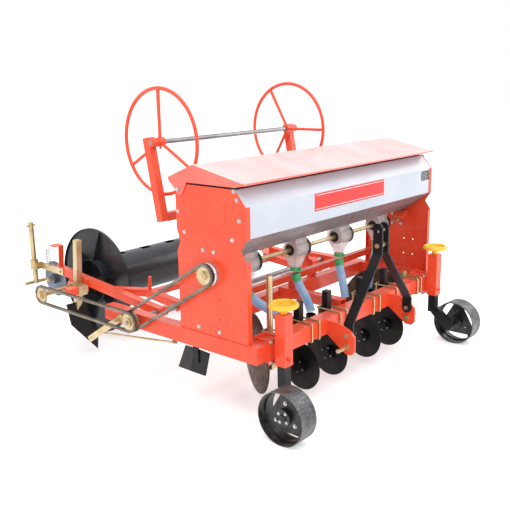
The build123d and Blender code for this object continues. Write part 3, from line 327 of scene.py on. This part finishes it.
def makeEnamel(name, v):
    f = Finish(name)
    scale = enamelScale
    patches = f.ramp(f.noise(scale["patches"], 5), 0.35, 0.65)
    colour = f.mix(patches, v["colour"], v["tone"])
    # faces that look up are paled: partly dust, partly a painted sky highlight on the tops
    up = f.ramp(f.facingUp(), 0.35, 0.95)
    smudge = f.ramp(f.noise(scale["smudges"], 5, (1, 0.5, 1), 0.5), 0.30, 0.70, v.get("dustAndSheenFloor", 0))
    dustAndSheen = f.maths("MULTIPLY", f.maths("MULTIPLY", up, smudge), v["dustAndSheenAmount"])
    film = f.ramp(f.noise(scale["film"], 4), 0.5, 0.8, 0, 0.05)
    colour = f.mix(f.maths("MAXIMUM", dustAndSheen, film), colour, v["dustAndSheen"])
    chip = f.ramp(f.noise(scale["chips"], 3, rough=0.7), v["chips"], v["chips"] + 0.02)
    colour = f.mix(chip, colour, chipColour)
    if "under" in v:  # the sheet's lower slope, whose faces look down, is painted darker as shade, streaked along its length
        along = f.ramp(f.noise(scale["shadeStreaks"], 6, (0.3, 3, 3)), 0.3, 0.7)
        shadeStreaks = f.mix(along, v["under"], v["underShadeStreak"])
        colour = f.mix(f.ramp(f.facingUp(), -0.5, -0.15), shadeStreaks, colour)
    f.feed(colour, "Base Color")
    shine = f.noise(scale["gloss"], 3)
    f.feed(f.ramp(shine, 0.3, 0.7, v["rough"] - 0.06, v["rough"] + 0.14), "Roughness")
    f.bump(f.noise(scale["peel"], 2), 0.10)
    f.set(Coat_Weight=v["coat"], Coat_Roughness=0.12, Specular_IOR_Level=v["gloss"])
    finishes[name] = f.material


def makeMetal(name, v):
    f = Finish(name)
    scale = metalScale
    colour = f.mix(f.ramp(f.noise(scale["tone"], 5, v["grain"]), 0.38, 0.62), v["colour"], v["tone"])
    stain = f.ramp(f.noise(scale["stains"], 5, rough=0.7), v["stains"], v["stains"] + 0.16, 0, 0.75)
    f.feed(f.mix(stain, colour, v["stain"]), "Base Color")
    shine = f.noise(scale["gloss"], 3, v["grain"])
    f.feed(f.ramp(shine, 0.3, 0.7, v["rough"] - 0.08, v["rough"] + 0.16), "Roughness")
    f.bump(f.noise(scale["grain"], 3, v["grain"]), 0.16)
    f.set(Metallic=0.85)
    finishes[name] = f.material


def makeVinyl(name, v):
    f = Finish(name)
    f.feed(f.mix(f.ramp(f.noise(v["patches"], 4), *v["band"]), v["colour"], v["tone"]), "Base Color")
    f.bump(f.noise(v["grain"], 2), v["relief"])
    f.set(Roughness=v["rough"])
    finishes[name] = f.material


# black inside, rubbed to grey on the tread, which lies beyond "wornFrom" from the axle
wheelPaint = {
    "axleY": -180, "axleZ": 142.5, "wornFrom": 0.1365, "dark": (0.012, 0.012, 0.014),
    "dustAndSheen": (0.08, 0.078, 0.075), "worn": (0.13, 0.135, 0.15), "scuff": (0.30, 0.28, 0.26),
}


def makeWheelPaint():
    v = wheelPaint
    f = Finish("wheelPaint")
    fromAxle = f.vectorMaths("SUBTRACT", f.place, at(0, v["axleY"], v["axleZ"]))
    distance = f.vectorMaths("LENGTH", f.vectorMaths("MULTIPLY", fromAxle, (0, 1, 1)))
    tread = f.ramp(distance, v["wornFrom"], v["wornFrom"] + 0.003)
    rubbed = f.ramp(f.noise(9, 6, (1, 2.5, 2.5), 0.7), 0.34, 0.60)
    bare = f.maths("MULTIPLY", tread, rubbed)
    inside = f.mix(f.ramp(f.noise(16, 5), 0.45, 0.75), v["dark"], v["dustAndSheen"])
    worn = f.mix(f.ramp(f.noise(40, 5, (1, 3, 3)), 0.45, 0.75), v["worn"], v["scuff"])
    f.feed(f.mix(bare, inside, worn), "Base Color")
    f.feed(f.ramp(bare, 0, 1, 0.12, 0.75), "Metallic")
    f.feed(f.ramp(f.noise(30, 4), 0.3, 0.7, 0.30, 0.50), "Roughness")
    f.bump(f.noise(180, 3), 0.12)
    finishes["wheelPaint"] = f.material


hosePlastic = {"colour": (0.26, 0.50, 0.82), "tone": (0.42, 0.64, 0.90), "ribs": 38}
meterPlastic = {"clear": (0.82, 0.80, 0.79), "pink": (0.86, 0.62, 0.60), "thin": 0.32, "thick": 0.46}


def makeHosePlastic():
    v = hosePlastic
    f = Finish("blueHose")
    ribs = f.tree.nodes.new("ShaderNodeTexWave")
    ribs.bands_direction = "Z"
    ribs.inputs["Scale"].default_value = v["ribs"]
    f.link(f.place, ribs.inputs["Vector"])
    f.feed(f.mix(f.ramp(f.noise(12, 4), 0.35, 0.65), v["colour"], v["tone"]), "Base Color")
    f.bump(ribs.outputs["Fac"], 0.25, 0.001)
    f.set(Roughness=0.28, Transmission_Weight=0.25, IOR=1.45, Subsurface_Weight=0.15)
    finishes["blueHose"] = f.material


def makeMeterPlastic():
    v = meterPlastic
    f = Finish("clearPlastic")
    haze = f.ramp(f.noise(14, 4), 0.35, 0.7)
    pink = f.ramp(f.noise(6, 3), 0.4, 0.6)
    f.feed(f.mix(pink, v["clear"], v["pink"]), "Base Color")
    f.feed(f.ramp(haze, 0, 1, v["thin"], v["thick"]), "Alpha")
    f.feed(f.ramp(haze, 0, 1, 0.12, 0.28), "Roughness")
    f.set(IOR=1.45)
    finishes["clearPlastic"] = f.material


for maker, table in ((makeEnamel, enamels), (makeMetal, metals), (makeVinyl, vinyls)):
    for name, values in table.items():
        maker(name, values)
makeWheelPaint()
makeHosePlastic()
makeMeterPlastic()

coats = {
    "redEnamel": "front_beam side_beams cross_members hitch_lugs panel_left panel_right gauge_sleeves "
                 "rear_frame drum_bearings reel_frame reel_rings",
    "lidEnamel": "lid",
    "hopperEnamel": "hopper",
    "blackEnamel": "mast_bars opener_shanks gauge_leg_left gauge_leg_right ridge_plates shovels "
                   "meter_end_caps",
    "drumEnamel": "drum",
    "yellowEnamel": "handwheel_left handwheel_right",
    "orangeKnob": "rate_knob",
    "yellowZinc": "opener_clamps ridging_shanks film_arms shovel_shanks cover_arm_left cover_arm_right "
                  "drum_axle idler_sprocket seed_shaft hitch_pins",
    "brightSteel": "shaft_bearings frame_bolts",
    "shaftSteel": "pivot_shaft reel_shaft",
    "discSteel": "opener_disc_1 opener_disc_2 opener_disc_3 opener_disc_4 feed_rollers",
    "coverSteel": "cover_disc_left cover_disc_right",
    "brownDisc": "ridging_disc_left ridging_disc_right",
    "wheelPaint": "gauge_wheel_left gauge_wheel_right",
    "springSteel": "cover_spring_left cover_spring_right",
    "chainSteel": "drive_chain_front drive_chain_rear",
    "clearPlastic": "meter_housings",
    "greenClamp": "outlet_clamps",
}
for finish, names in coats.items():
    for node in names.split():
        obj = nodes[node]
        if not obj.material_slots:
            obj.data.materials.append(finishes[finish])
        for entry in obj.material_slots:
            entry.material = finishes[finish]
print("finishes assigned")


def settle(obj, body, finish):
    if finish:
        obj.data.materials.clear()
        obj.data.materials.append(finishes[finish])
    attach(obj, body)
    return obj


def fromBmesh(name, bm, smooth=True):
    bmesh.ops.remove_doubles(bm, verts=bm.verts, dist=1e-6)
    bmesh.ops.recalc_face_normals(bm, faces=bm.faces)
    mesh = bpy.data.meshes.new(name)
    bm.to_mesh(mesh)
    bm.free()
    for face in mesh.polygons:
        face.use_smooth = smooth
    return addToScene(bpy.data.objects.new(name, mesh))


def plainMesh(obj, name):  # the evaluated mesh, with no modifier left
    depsgraph = bpy.context.evaluated_depsgraph_get()
    mesh = bpy.data.meshes.new_from_object(obj.evaluated_get(depsgraph))
    mesh.name = name
    bpy.data.objects.remove(obj)
    return addToScene(bpy.data.objects.new(name, mesh))


def around(centre, radius, turn):  # a point on a ring about an axis along X, in millimetres and degrees
    a = math.radians(turn)
    return at(centre[0], centre[1] + radius * math.cos(a), centre[2] + radius * math.sin(a))


class Tree:
    def __init__(self, name, inputs):
        self.group = bpy.data.node_groups.new(name, "GeometryNodeTree")
        face = self.group.interface
        face.new_socket("Geometry", in_out="INPUT", socket_type="NodeSocketGeometry")
        face.new_socket("Geometry", in_out="OUTPUT", socket_type="NodeSocketGeometry")
        self.ids = {}
        for label, kind in inputs.items():
            socket = face.new_socket(label, in_out="INPUT", socket_type="NodeSocket" + kind)
            self.ids[label] = socket.identifier
        self.inn = self.add("NodeGroupInput")
        self.out = self.add("NodeGroupOutput")

    def add(self, kind, **props):
        node = self.group.nodes.new(kind)
        for key, value in props.items():
            setattr(node, key, value)
        return node

    def wire(self, a, b):
        self.group.links.new(a, b)

    def given(self, label):
        return self.inn.outputs[label]

    def times(self, source, factor):
        node = self.add("ShaderNodeMath", operation="MULTIPLY")
        self.wire(source, node.inputs[0])
        node.inputs[1].default_value = factor
        return node.outputs[0]

    def drum(self, sides, radius, depth):  # a closed cylinder along Z
        node = self.add("GeometryNodeMeshCylinder")
        node.inputs["Vertices"].default_value = sides
        self.wire(radius, node.inputs["Radius"])
        self.wire(depth, node.inputs["Depth"])
        return node.outputs["Mesh"]

    def shift(self, geometry, offset):
        node = self.add("GeometryNodeTransform")
        self.wire(geometry, node.inputs["Geometry"])
        self.wire(offset, node.inputs["Translation"])
        return node.outputs[0]

    def join(self, parts):
        node = self.add("GeometryNodeJoinGeometry")
        for part in parts:
            self.wire(part, node.inputs[0])
        return node.outputs[0]

    def finish(self, geometry, material):
        realize = self.add("GeometryNodeRealizeInstances")
        paint = self.add("GeometryNodeSetMaterial")
        self.wire(geometry, realize.inputs[0])
        self.wire(realize.outputs[0], paint.inputs["Geometry"])
        self.wire(material, paint.inputs["Material"])
        self.wire(paint.outputs[0], self.out.inputs["Geometry"])

    def run(self, obj, name, **values):
        modifier = obj.modifiers.new(self.group.name, "NODES")
        modifier.node_group = self.group
        for label, value in values.items():
            modifier[self.ids[label]] = value
        return plainMesh(obj, name)


# numbers of sides, and sizes as shares of the head's radius and height
boltShape = {
    "headSides": 6, "lift": 0.75, "washerSides": 16, "washerWide": 1.35, "washerThick": 0.5,
    "stubSides": 12, "stubWide": 0.5, "stubLong": 3.2,
}


def boltTree():  # a hexagon head, a washer and a stub on every point, standing along its "facing"
    v = boltShape
    t = Tree("boltHeads", {"headRadius": "Float", "headHeight": "Float", "finish": "Material"})
    radius = t.given("headRadius")
    height = t.given("headHeight")
    head = t.drum(v["headSides"], radius, height)
    up = t.add("ShaderNodeCombineXYZ")
    t.wire(t.times(height, v["lift"]), up.inputs["Z"])
    raised = t.shift(head, up.outputs[0])
    washer = t.drum(v["washerSides"], t.times(radius, v["washerWide"]), t.times(height, v["washerThick"]))
    stub = t.drum(v["stubSides"], t.times(radius, v["stubWide"]), t.times(height, v["stubLong"]))
    facing = t.add("GeometryNodeInputNamedAttribute", data_type="FLOAT_VECTOR")
    facing.inputs["Name"].default_value = "facing"
    turn = t.add("FunctionNodeAlignRotationToVector", axis="Z")
    t.wire(facing.outputs["Attribute"], turn.inputs["Vector"])
    place = t.add("GeometryNodeInstanceOnPoints")
    t.wire(t.inn.outputs["Geometry"], place.inputs["Points"])
    t.wire(t.join((raised, washer, stub)), place.inputs["Instance"])
    t.wire(turn.outputs["Rotation"], place.inputs["Rotation"])
    t.finish(place.outputs[0], t.given("finish"))
    return t


boltMaker = boltTree()


def bolts(name, body, spots, radius, height, finish="yellowZinc", slot="zinc"):
    mesh = bpy.data.meshes.new(name + "Spots")
    mesh.from_pydata([tuple(spot) for spot, _ in spots], [], [])
    facing = mesh.attributes.new("facing", "FLOAT_VECTOR", "POINT")
    for i, (_, outward) in enumerate(spots):
        facing.data[i].vector = outward
    holder = addToScene(bpy.data.objects.new(name + "Spots", mesh))
    made = boltMaker.run(holder, name, headRadius=radius, headHeight=height, finish=finishes[finish])
    return settle(made, body, None)


chainSizes = {
    "pitch": 15.875, "teeth": 22, "plateHeight": 17.0, "plateThickness": 2.0, "plateStretch": 1.75,
    "rollerRadius": 5.0, "innerWidth": 9.6, "pinOverhang": 9, "plateGap": 1.2, "rimSteps": 24,
}


def chainTree():  # inner and outer links by turns, each a pair of oval plates and a roller
    t = Tree("chainLinks", {
        "count": "Int", "plateRadius": "Float", "plateThickness": "Float", "rollerRadius": "Float",
        "rollerWidth": "Float", "spread": "Float", "finish": "Material"})
    curve = t.add("GeometryNodeMeshToCurve")
    t.wire(t.inn.outputs["Geometry"], curve.inputs[0])
    sample = t.add("GeometryNodeResampleCurve")
    t.wire(curve.outputs[0], sample.inputs["Curve"])
    t.wire(t.given("count"), sample.inputs["Count"])
    tangent = t.add("GeometryNodeInputTangent")
    turn = t.add("FunctionNodeAlignRotationToVector", axis="Z", pivot_axis="X")
    t.wire(tangent.outputs[0], turn.inputs["Vector"])
    across = t.add("GeometryNodeTransform")
    across.inputs["Rotation"].default_value = (0, math.pi / 2, 0)
    t.wire(t.drum(10, t.given("rollerRadius"), t.given("rollerWidth")), across.inputs["Geometry"])
    oval = t.add("GeometryNodeTransform")
    oval.inputs["Rotation"].default_value = (0, math.pi / 2, 0)
    oval.inputs["Scale"].default_value = (chainSizes["plateStretch"], 1, 1)
    t.wire(t.drum(12, t.given("plateRadius"), t.given("plateThickness")), oval.inputs["Geometry"])
    links = []
    for step in (0.0, 1.0):
        plates = []
        for side in (-1, 1):
            reach = t.add("ShaderNodeMath", operation="MULTIPLY_ADD")
            t.wire(t.given("plateThickness"), reach.inputs[0])
            reach.inputs[1].default_value = step
            t.wire(t.given("spread"), reach.inputs[2])
            offset = t.add("ShaderNodeCombineXYZ")
            t.wire(t.times(reach.outputs[0], side), offset.inputs["X"])
            plates.append(t.shift(oval.outputs[0], offset.outputs[0]))
        links.append(t.join((*plates, across.outputs[0])))
    even = t.add("FunctionNodeCompare", data_type="INT", operation="EQUAL")
    index = t.add("GeometryNodeInputIndex")
    half = t.add("ShaderNodeMath", operation="MODULO")
    t.wire(index.outputs[0], half.inputs[0])
    half.inputs[1].default_value = 2
    t.wire(half.outputs[0], even.inputs[2])
    odd = t.add("FunctionNodeBooleanMath", operation="NOT")
    t.wire(even.outputs[0], odd.inputs[0])
    rows = []
    for chooser, link in zip((even, odd), links):
        place = t.add("GeometryNodeInstanceOnPoints")
        t.wire(sample.outputs[0], place.inputs["Points"])
        t.wire(chooser.outputs[0], place.inputs["Selection"])
        t.wire(link, place.inputs["Instance"])
        t.wire(turn.outputs["Rotation"], place.inputs["Rotation"])
        rows.append(place.outputs[0])
    t.finish(t.join(rows), t.given("finish"))
    return t


chainMaker = chainTree()


def chain(name, body, node, x, start, end):  # start and end are the sprockets' centres
    v = chainSizes
    radius = v["pitch"] / 2 / math.sin(math.pi / v["teeth"])
    a, b = Vector((0, *start)), Vector((0, *end))
    along = (b - a).normalized()
    tilt = math.atan2(along.z, along.y)
    rim = []
    for centre, first in ((b, -90), (a, 90)):
        for step in range(v["rimSteps"] + 1):
            angle = tilt + math.radians(first + 180 * step / v["rimSteps"])
            rim.append(centre + radius * Vector((0, math.cos(angle), math.sin(angle))))
    edges = [(i, (i + 1) % len(rim)) for i in range(len(rim))]
    mesh = bpy.data.meshes.new(name + "Path")
    mesh.from_pydata([tuple(at(x, p.y, p.z)) for p in rim], edges, [])
    holder = addToScene(bpy.data.objects.new(name + "Path", mesh))
    length = 2 * (b - a).length + 2 * math.pi * radius
    made = chainMaker.run(
        holder, name, count=2 * round(length / v["pitch"] / 2), plateRadius=v["plateHeight"] / 2000,
        plateThickness=v["plateThickness"] / 1000, rollerRadius=v["rollerRadius"] / 1000,
        rollerWidth=(v["innerWidth"] + v["pinOverhang"]) / 1000,
        spread=v["innerWidth"] / 2000 + v["plateGap"] / 1000, finish=finishes["chainSteel"])
    settle(made, body, None)
    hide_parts(node)


chain("frontChainLinks", "root", "drive_chain_front", -985, (923, 424), (312, 800))
chain("rearChainLinks", "rear_frame", "drive_chain_rear", -1010, (1807, 428), (923, 424))
print("chains made")


hoseValues = {
    "radius": 26, "meters": (-670, -225, 225, 670), "rows": (-450, -180, 180, 450),
    "top": 647, "bottom": 417, "meterY": 312, "bootY": 232,
    "across": (0, 0.15, 0.85, 1), "down": (0, 0.25, 0.75, 1),
    "length": 0.333, "cords": (1, 4),  # the inner two are under six diameters long
    "collar": 45, "collarWall": 1.8,
}


def hosePoints(meter, row):
    v = hoseValues
    points = []
    for across, down in zip(v["across"], v["down"]):
        x = meter + (row - meter) * across
        y = v["meterY"] + (v["bootY"] - v["meterY"]) * across
        points.append(at(x, y, v["top"] + (v["bottom"] - v["top"]) * down))
    return points


def hoses():
    v = hoseValues
    for i, (meter, row) in enumerate(zip(v["meters"], v["rows"]), 1):
        points = hosePoints(meter, row)
        data = bpy.data.curves.new("seedHose%d" % i, "CURVE")
        data.dimensions = "3D"
        data.bevel_depth = v["radius"] / 1000
        data.bevel_resolution = 6
        data.resolution_u = 16
        data.use_fill_caps = False
        spline = data.splines.new("NURBS")
        spline.points.add(len(points) - 1)
        for point, place in zip(spline.points, points):
            point.co = (*place, 1)
        spline.order_u = 3
        spline.use_endpoint_u = True
        hose = addToScene(bpy.data.objects.new("seedHose%d" % i, data))
        settle(hose, "root", "blueHose")
        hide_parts("seed_hose_%d" % i)


hoses()
print("hoses made")


def turned(name, profile, centre, axis, steps=64):  # profile: distance from the axis, place along it
    bm = bmesh.new()
    axis = Vector(axis).normalized()
    side = axis.orthogonal().normalized()
    rings = []
    for out, along in profile:
        start = centre + axis * along / 1000
        if out == 0:
            rings.append([bm.verts.new(start)])
            continue
        arms = (Matrix.Rotation(2 * math.pi * k / steps, 3, axis) @ side for k in range(steps))
        rings.append([bm.verts.new(start + arm * out / 1000) for arm in arms])
    for low, high in zip(rings, rings[1:]):
        for k in range(steps):
            n = (k + 1) % steps
            corner = [low[k % len(low)], low[n % len(low)], high[n % len(high)], high[k % len(high)]]
            unique = list(dict.fromkeys(corner))
            if len(unique) > 2:
                bm.faces.new(unique)
    return fromBmesh(name, bm)


def bevelled(name, spans, width, body, finish):
    bm = bmesh.new()
    for low, high in spans:
        a, b = at(*low), at(*high)
        size = Matrix.Diagonal((*(b - a), 1))
        bmesh.ops.create_cube(bm, size=1, matrix=Matrix.Translation((a + b) / 2) @ size)
    obj = fromBmesh(name, bm, smooth=False)
    modifier = obj.modifiers.new("edges", "BEVEL")
    modifier.width = width
    modifier.segments = 2
    return settle(plainMesh(obj, name), body, finish)


def hoseCollars():
    v = hoseValues
    r, wall, long = v["radius"], v["collarWall"], v["collar"]
    ring = [(r - 0.4, -1), (r + wall - 0.6, -1), (r + wall, 1), (r + wall, long - 1)]
    ring += [(r + wall - 0.6, long + 1), (r - 0.4, long + 1), (r - 0.4, -1)]
    for i, (meter, row) in enumerate(zip(v["meters"], v["rows"]), 1):
        start, end = hosePoints(meter, row)[:2]
        collar = turned("hoseCollar%d" % i, ring, start, end - start, 40)
        settle(collar, "root", "greenClamp")


hoseCollars()

ridging = {
    "centre": (654, 288, 275), "radius": 229, "lead": 31, "dish": 26, "flat": 60, "rings": 8,
    "halfWall": 2, "inward": 0.2, "hub": [(12.2, -30), (42, -30), (46, -27), (46, -2.2)],
    "cap": [(34, 2), (30, 10), (0, 11)],
}


def ridgingDiscs():  # dished, and wider apart at the front than at the back
    v = ridging
    face = []
    for k in range(v["rings"] + 1):
        out = v["flat"] + (v["radius"] - v["flat"]) * k / v["rings"]
        face.append((out, v["dish"] * ((v["flat"] / v["radius"]) ** 2 - (out / v["radius"]) ** 2)))
    back = [(out, along - v["halfWall"] - v["inward"]) for out, along in face]
    front = [(out, along + v["halfWall"] - v["inward"]) for out, along in reversed(face)]
    angle = math.radians(v["lead"])
    for side, g in (("left", -1), ("right", 1)):
        centre = at(g * v["centre"][0], v["centre"][1], v["centre"][2])
        axis = (g * math.cos(angle), math.sin(angle), 0)
        profile = v["hub"] + back + front + v["cap"]
        dish = turned("ridgingDish" + side.capitalize(), profile, centre, axis, 72)
        settle(dish, "ridging_disc_" + side, "brownDisc")
        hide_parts("ridging_disc_" + side)


ridgingDiscs()

hopperFront = 60
badge = {"left": -373, "right": 337, "low": 1069, "high": 1167, "inset": 9, "line": 3}


def hopperLabels():
    v = badge
    y = hopperFront
    sheet = [((v["left"], y - 1.2, v["low"]), (v["right"], y - 0.1, v["high"]))]
    bevelled("hopperLabel", sheet, 0.0004, "root", "labelVinyl")
    left, right = v["left"] + v["inset"], v["right"] - v["inset"]
    lines = []
    for z in (v["low"] + v["inset"], v["high"] - v["inset"] - v["line"]):
        lines.append(((left, y - 1.9, z), (right, y - 1.1, z + v["line"])))
    bevelled("labelLines", lines, 0.0003, "root", "whiteVinyl")


plate = {
    "left": 802, "right": 914, "low": 1098, "high": 1160, "rows": 6, "rowStep": 9, "rowHeight": 1.6,
    "margin": 7, "stagger": 12, "rivetInset": 4, "rivetHead": (0.0022, 0.0008),
}


def dataPlate():  # blank: a dark plate with pale rules and a rivet in each corner
    v = plate
    y = hopperFront
    spans = [((v["left"], y - 1.2, v["low"]), (v["right"], y - 0.1, v["high"]))]
    bevelled("dataPlate", spans, 0.0004, "root", "drumEnamel")
    rows = []
    for k in range(v["rows"]):
        z = v["high"] - v["rowStep"] * (k + 1)
        right = v["right"] - v["margin"] - v["stagger"] * (k % 3)
        rows.append(((v["left"] + v["margin"], y - 1.5, z - v["rowHeight"]), (right, y - 1.1, z)))
    bevelled("dataPlateLines", rows, 0.0002, "root", "whiteVinyl")
    inset = v["rivetInset"]
    rivets = []
    for x in (v["left"] + inset, v["right"] - inset):
        for z in (v["low"] + inset, v["high"] - inset):
            rivets.append((at(x, y - 1.2, z), Vector((0, -1, 0))))
    bolts("dataPlateRivets", "root", rivets, *v["rivetHead"], "brightSteel", "steel")


hopperLabels()
dataPlate()

rowX = (-450, -180, 180, 450)
clampNut = {
    "rowReach": 34, "rowFace": 145, "ridgeX": 706, "ridgeReach": 24, "ridgeFace": 136,
    "heights": (464, 360), "head": (0.0065, 0.006),
}


def nuts():  # on the threaded ends of the U bolts
    v = clampNut
    places = [(x, v["rowReach"], v["rowFace"]) for x in rowX]
    places += [(g * v["ridgeX"], v["ridgeReach"], v["ridgeFace"]) for g in (-1, 1)]
    spots = []
    for x, reach, face in places:
        for s in (-1, 1):
            for z in v["heights"]:
                spots.append((at(x + s * reach, face, z), Vector((0, 1, 0))))
    bolts("clampNuts", "root", spots, *v["head"])


nuts()

wheelTrim = {
    "axleY": -180, "axleZ": 142.5, "webFace": 938, "webRing": 70, "webTurns": (90, 210, 330),
    "hubFace": 962, "hubRing": 31, "hubTurns": (35, 125, 215, 305), "capRadius": 19, "capDepth": 7,
    "webHead": (0.0085, 0.006), "hubHead": (0.006, 0.004),  # radius and height in metres, as in every "head"
}


def gaugeWheelTrim():
    v = wheelTrim
    r, d = v["capRadius"], v["capDepth"]
    for side, g in (("left", -1), ("right", 1)):
        outward = Vector((g, 0, 0))
        body = "gauge_wheel_" + side
        web = (g * v["webFace"], v["axleY"], v["axleZ"])
        hub = (g * v["hubFace"], v["axleY"], v["axleZ"])
        webSpots = [(around(web, v["webRing"], turn), outward) for turn in v["webTurns"]]
        hubSpots = [(around(hub, v["hubRing"], turn), outward) for turn in v["hubTurns"]]
        bolts("wheelWebBolts" + side.capitalize(), body, webSpots, *v["webHead"], "brightSteel", "steel")
        bolts("wheelHubBolts" + side.capitalize(), body, hubSpots, *v["hubHead"], "brightSteel", "steel")
        profile = [(0, 0), (r, 0), (r, d * 0.6), (r - 2.5, d), (0, d)]
        foot = at(g * (v["hubFace"] - 0.5), v["axleY"], v["axleZ"])
        cap = turned("wheelCap" + side.capitalize(), profile, foot, outward, 32)
        settle(cap, body, "wheelPaint")


spring = {
    "x": 804, "y": 2012, "low": 560, "high": 672, "turns": 8, "coil": 15, "wire": 2.2, "gap": 1,
    "steps": 20, "wireSides": 8, "pressed": 0.80,
}


def springTree():
    t = Tree("coilSpring", {
        "turns": "Float", "coilRadius": "Float", "wireRadius": "Float", "height": "Float",
        "place": "Vector", "finish": "Material"})
    spiral = t.add("GeometryNodeCurveSpiral")
    spiral.inputs["Resolution"].default_value = spring["steps"]
    t.wire(t.given("turns"), spiral.inputs["Rotations"])
    t.wire(t.given("coilRadius"), spiral.inputs["Start Radius"])
    t.wire(t.given("coilRadius"), spiral.inputs["End Radius"])
    t.wire(t.given("height"), spiral.inputs["Height"])
    wire = t.add("GeometryNodeCurvePrimitiveCircle")
    wire.inputs["Resolution"].default_value = spring["wireSides"]
    t.wire(t.given("wireRadius"), wire.inputs["Radius"])
    tube = t.add("GeometryNodeCurveToMesh")
    tube.inputs["Fill Caps"].default_value = True
    t.wire(spiral.outputs[0], tube.inputs["Curve"])
    t.wire(wire.outputs[0], tube.inputs["Profile Curve"])
    t.finish(t.shift(tube.outputs[0], t.given("place")), t.given("finish"))
    return t


def coverSprings():  # one coil on each side at a fixed length, on the rear frame; the real coils are pressed together from below as the covering arm lifts
    v = spring
    springMaker = springTree()
    for side, g in (("left", -1), ("right", 1)):
        mesh = bpy.data.meshes.new("springStart" + side)
        holder = addToScene(bpy.data.objects.new("springStart" + side, mesh))
        low = at(g * v["x"], v["y"], v["low"] + v["wire"] + v["gap"])
        height = (v["high"] - v["low"] - 2 * (v["wire"] + v["gap"])) / 1000
        made = springMaker.run(
            holder, "coverSpring" + side.capitalize(), turns=float(v["turns"]), coilRadius=v["coil"] / 1000,
            wireRadius=v["wire"] / 1000, height=height, place=tuple(low), finish=finishes["springSteel"])
        settle(made, "rear_frame", None)
        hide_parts("cover_spring_" + side)
        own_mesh(made)


discTrim = {
    "offset": -30, "y": 75, "z": 203, "lead": -5, "face": -22, "ring": 33, "turns": (20, 110, 200, 290),
    "head": (0.0055, 0.004),
}


def discBolts():
    v = discTrim
    lead = Matrix.Rotation(math.radians(v["lead"]), 3, "Z")
    for i, row in enumerate(rowX, 1):
        centre = at(row + v["offset"], v["y"], v["z"])
        spots = []
        for turn in v["turns"]:
            a = math.radians(turn)
            spot = Vector((v["face"], v["ring"] * math.cos(a), v["ring"] * math.sin(a))) / 1000
            spots.append((centre + lead @ spot, lead @ Vector((-1, 0, 0))))
        bolts("discBolts%d" % i, "opener_disc_%d" % i, spots, *v["head"], "shaftSteel", "steel")


sleeveTrim = {"x": 800, "reach": 42, "face": -10, "heights": (355, 469), "head": (0.0095, 0.007)}


def sleeveBolts():
    v = sleeveTrim
    spots = []
    for g in (-1, 1):
        for s in (-1, 1):
            for z in v["heights"]:
                spots.append((at(g * v["x"] + s * v["reach"], v["face"], z), Vector((0, -1, 0))))
    bolts("sleeveBolts", "root", spots, *v["head"], "brightSteel", "steel")


gaugeWheelTrim()
coverSprings()
discBolts()
sleeveBolts()
print("small pieces made")
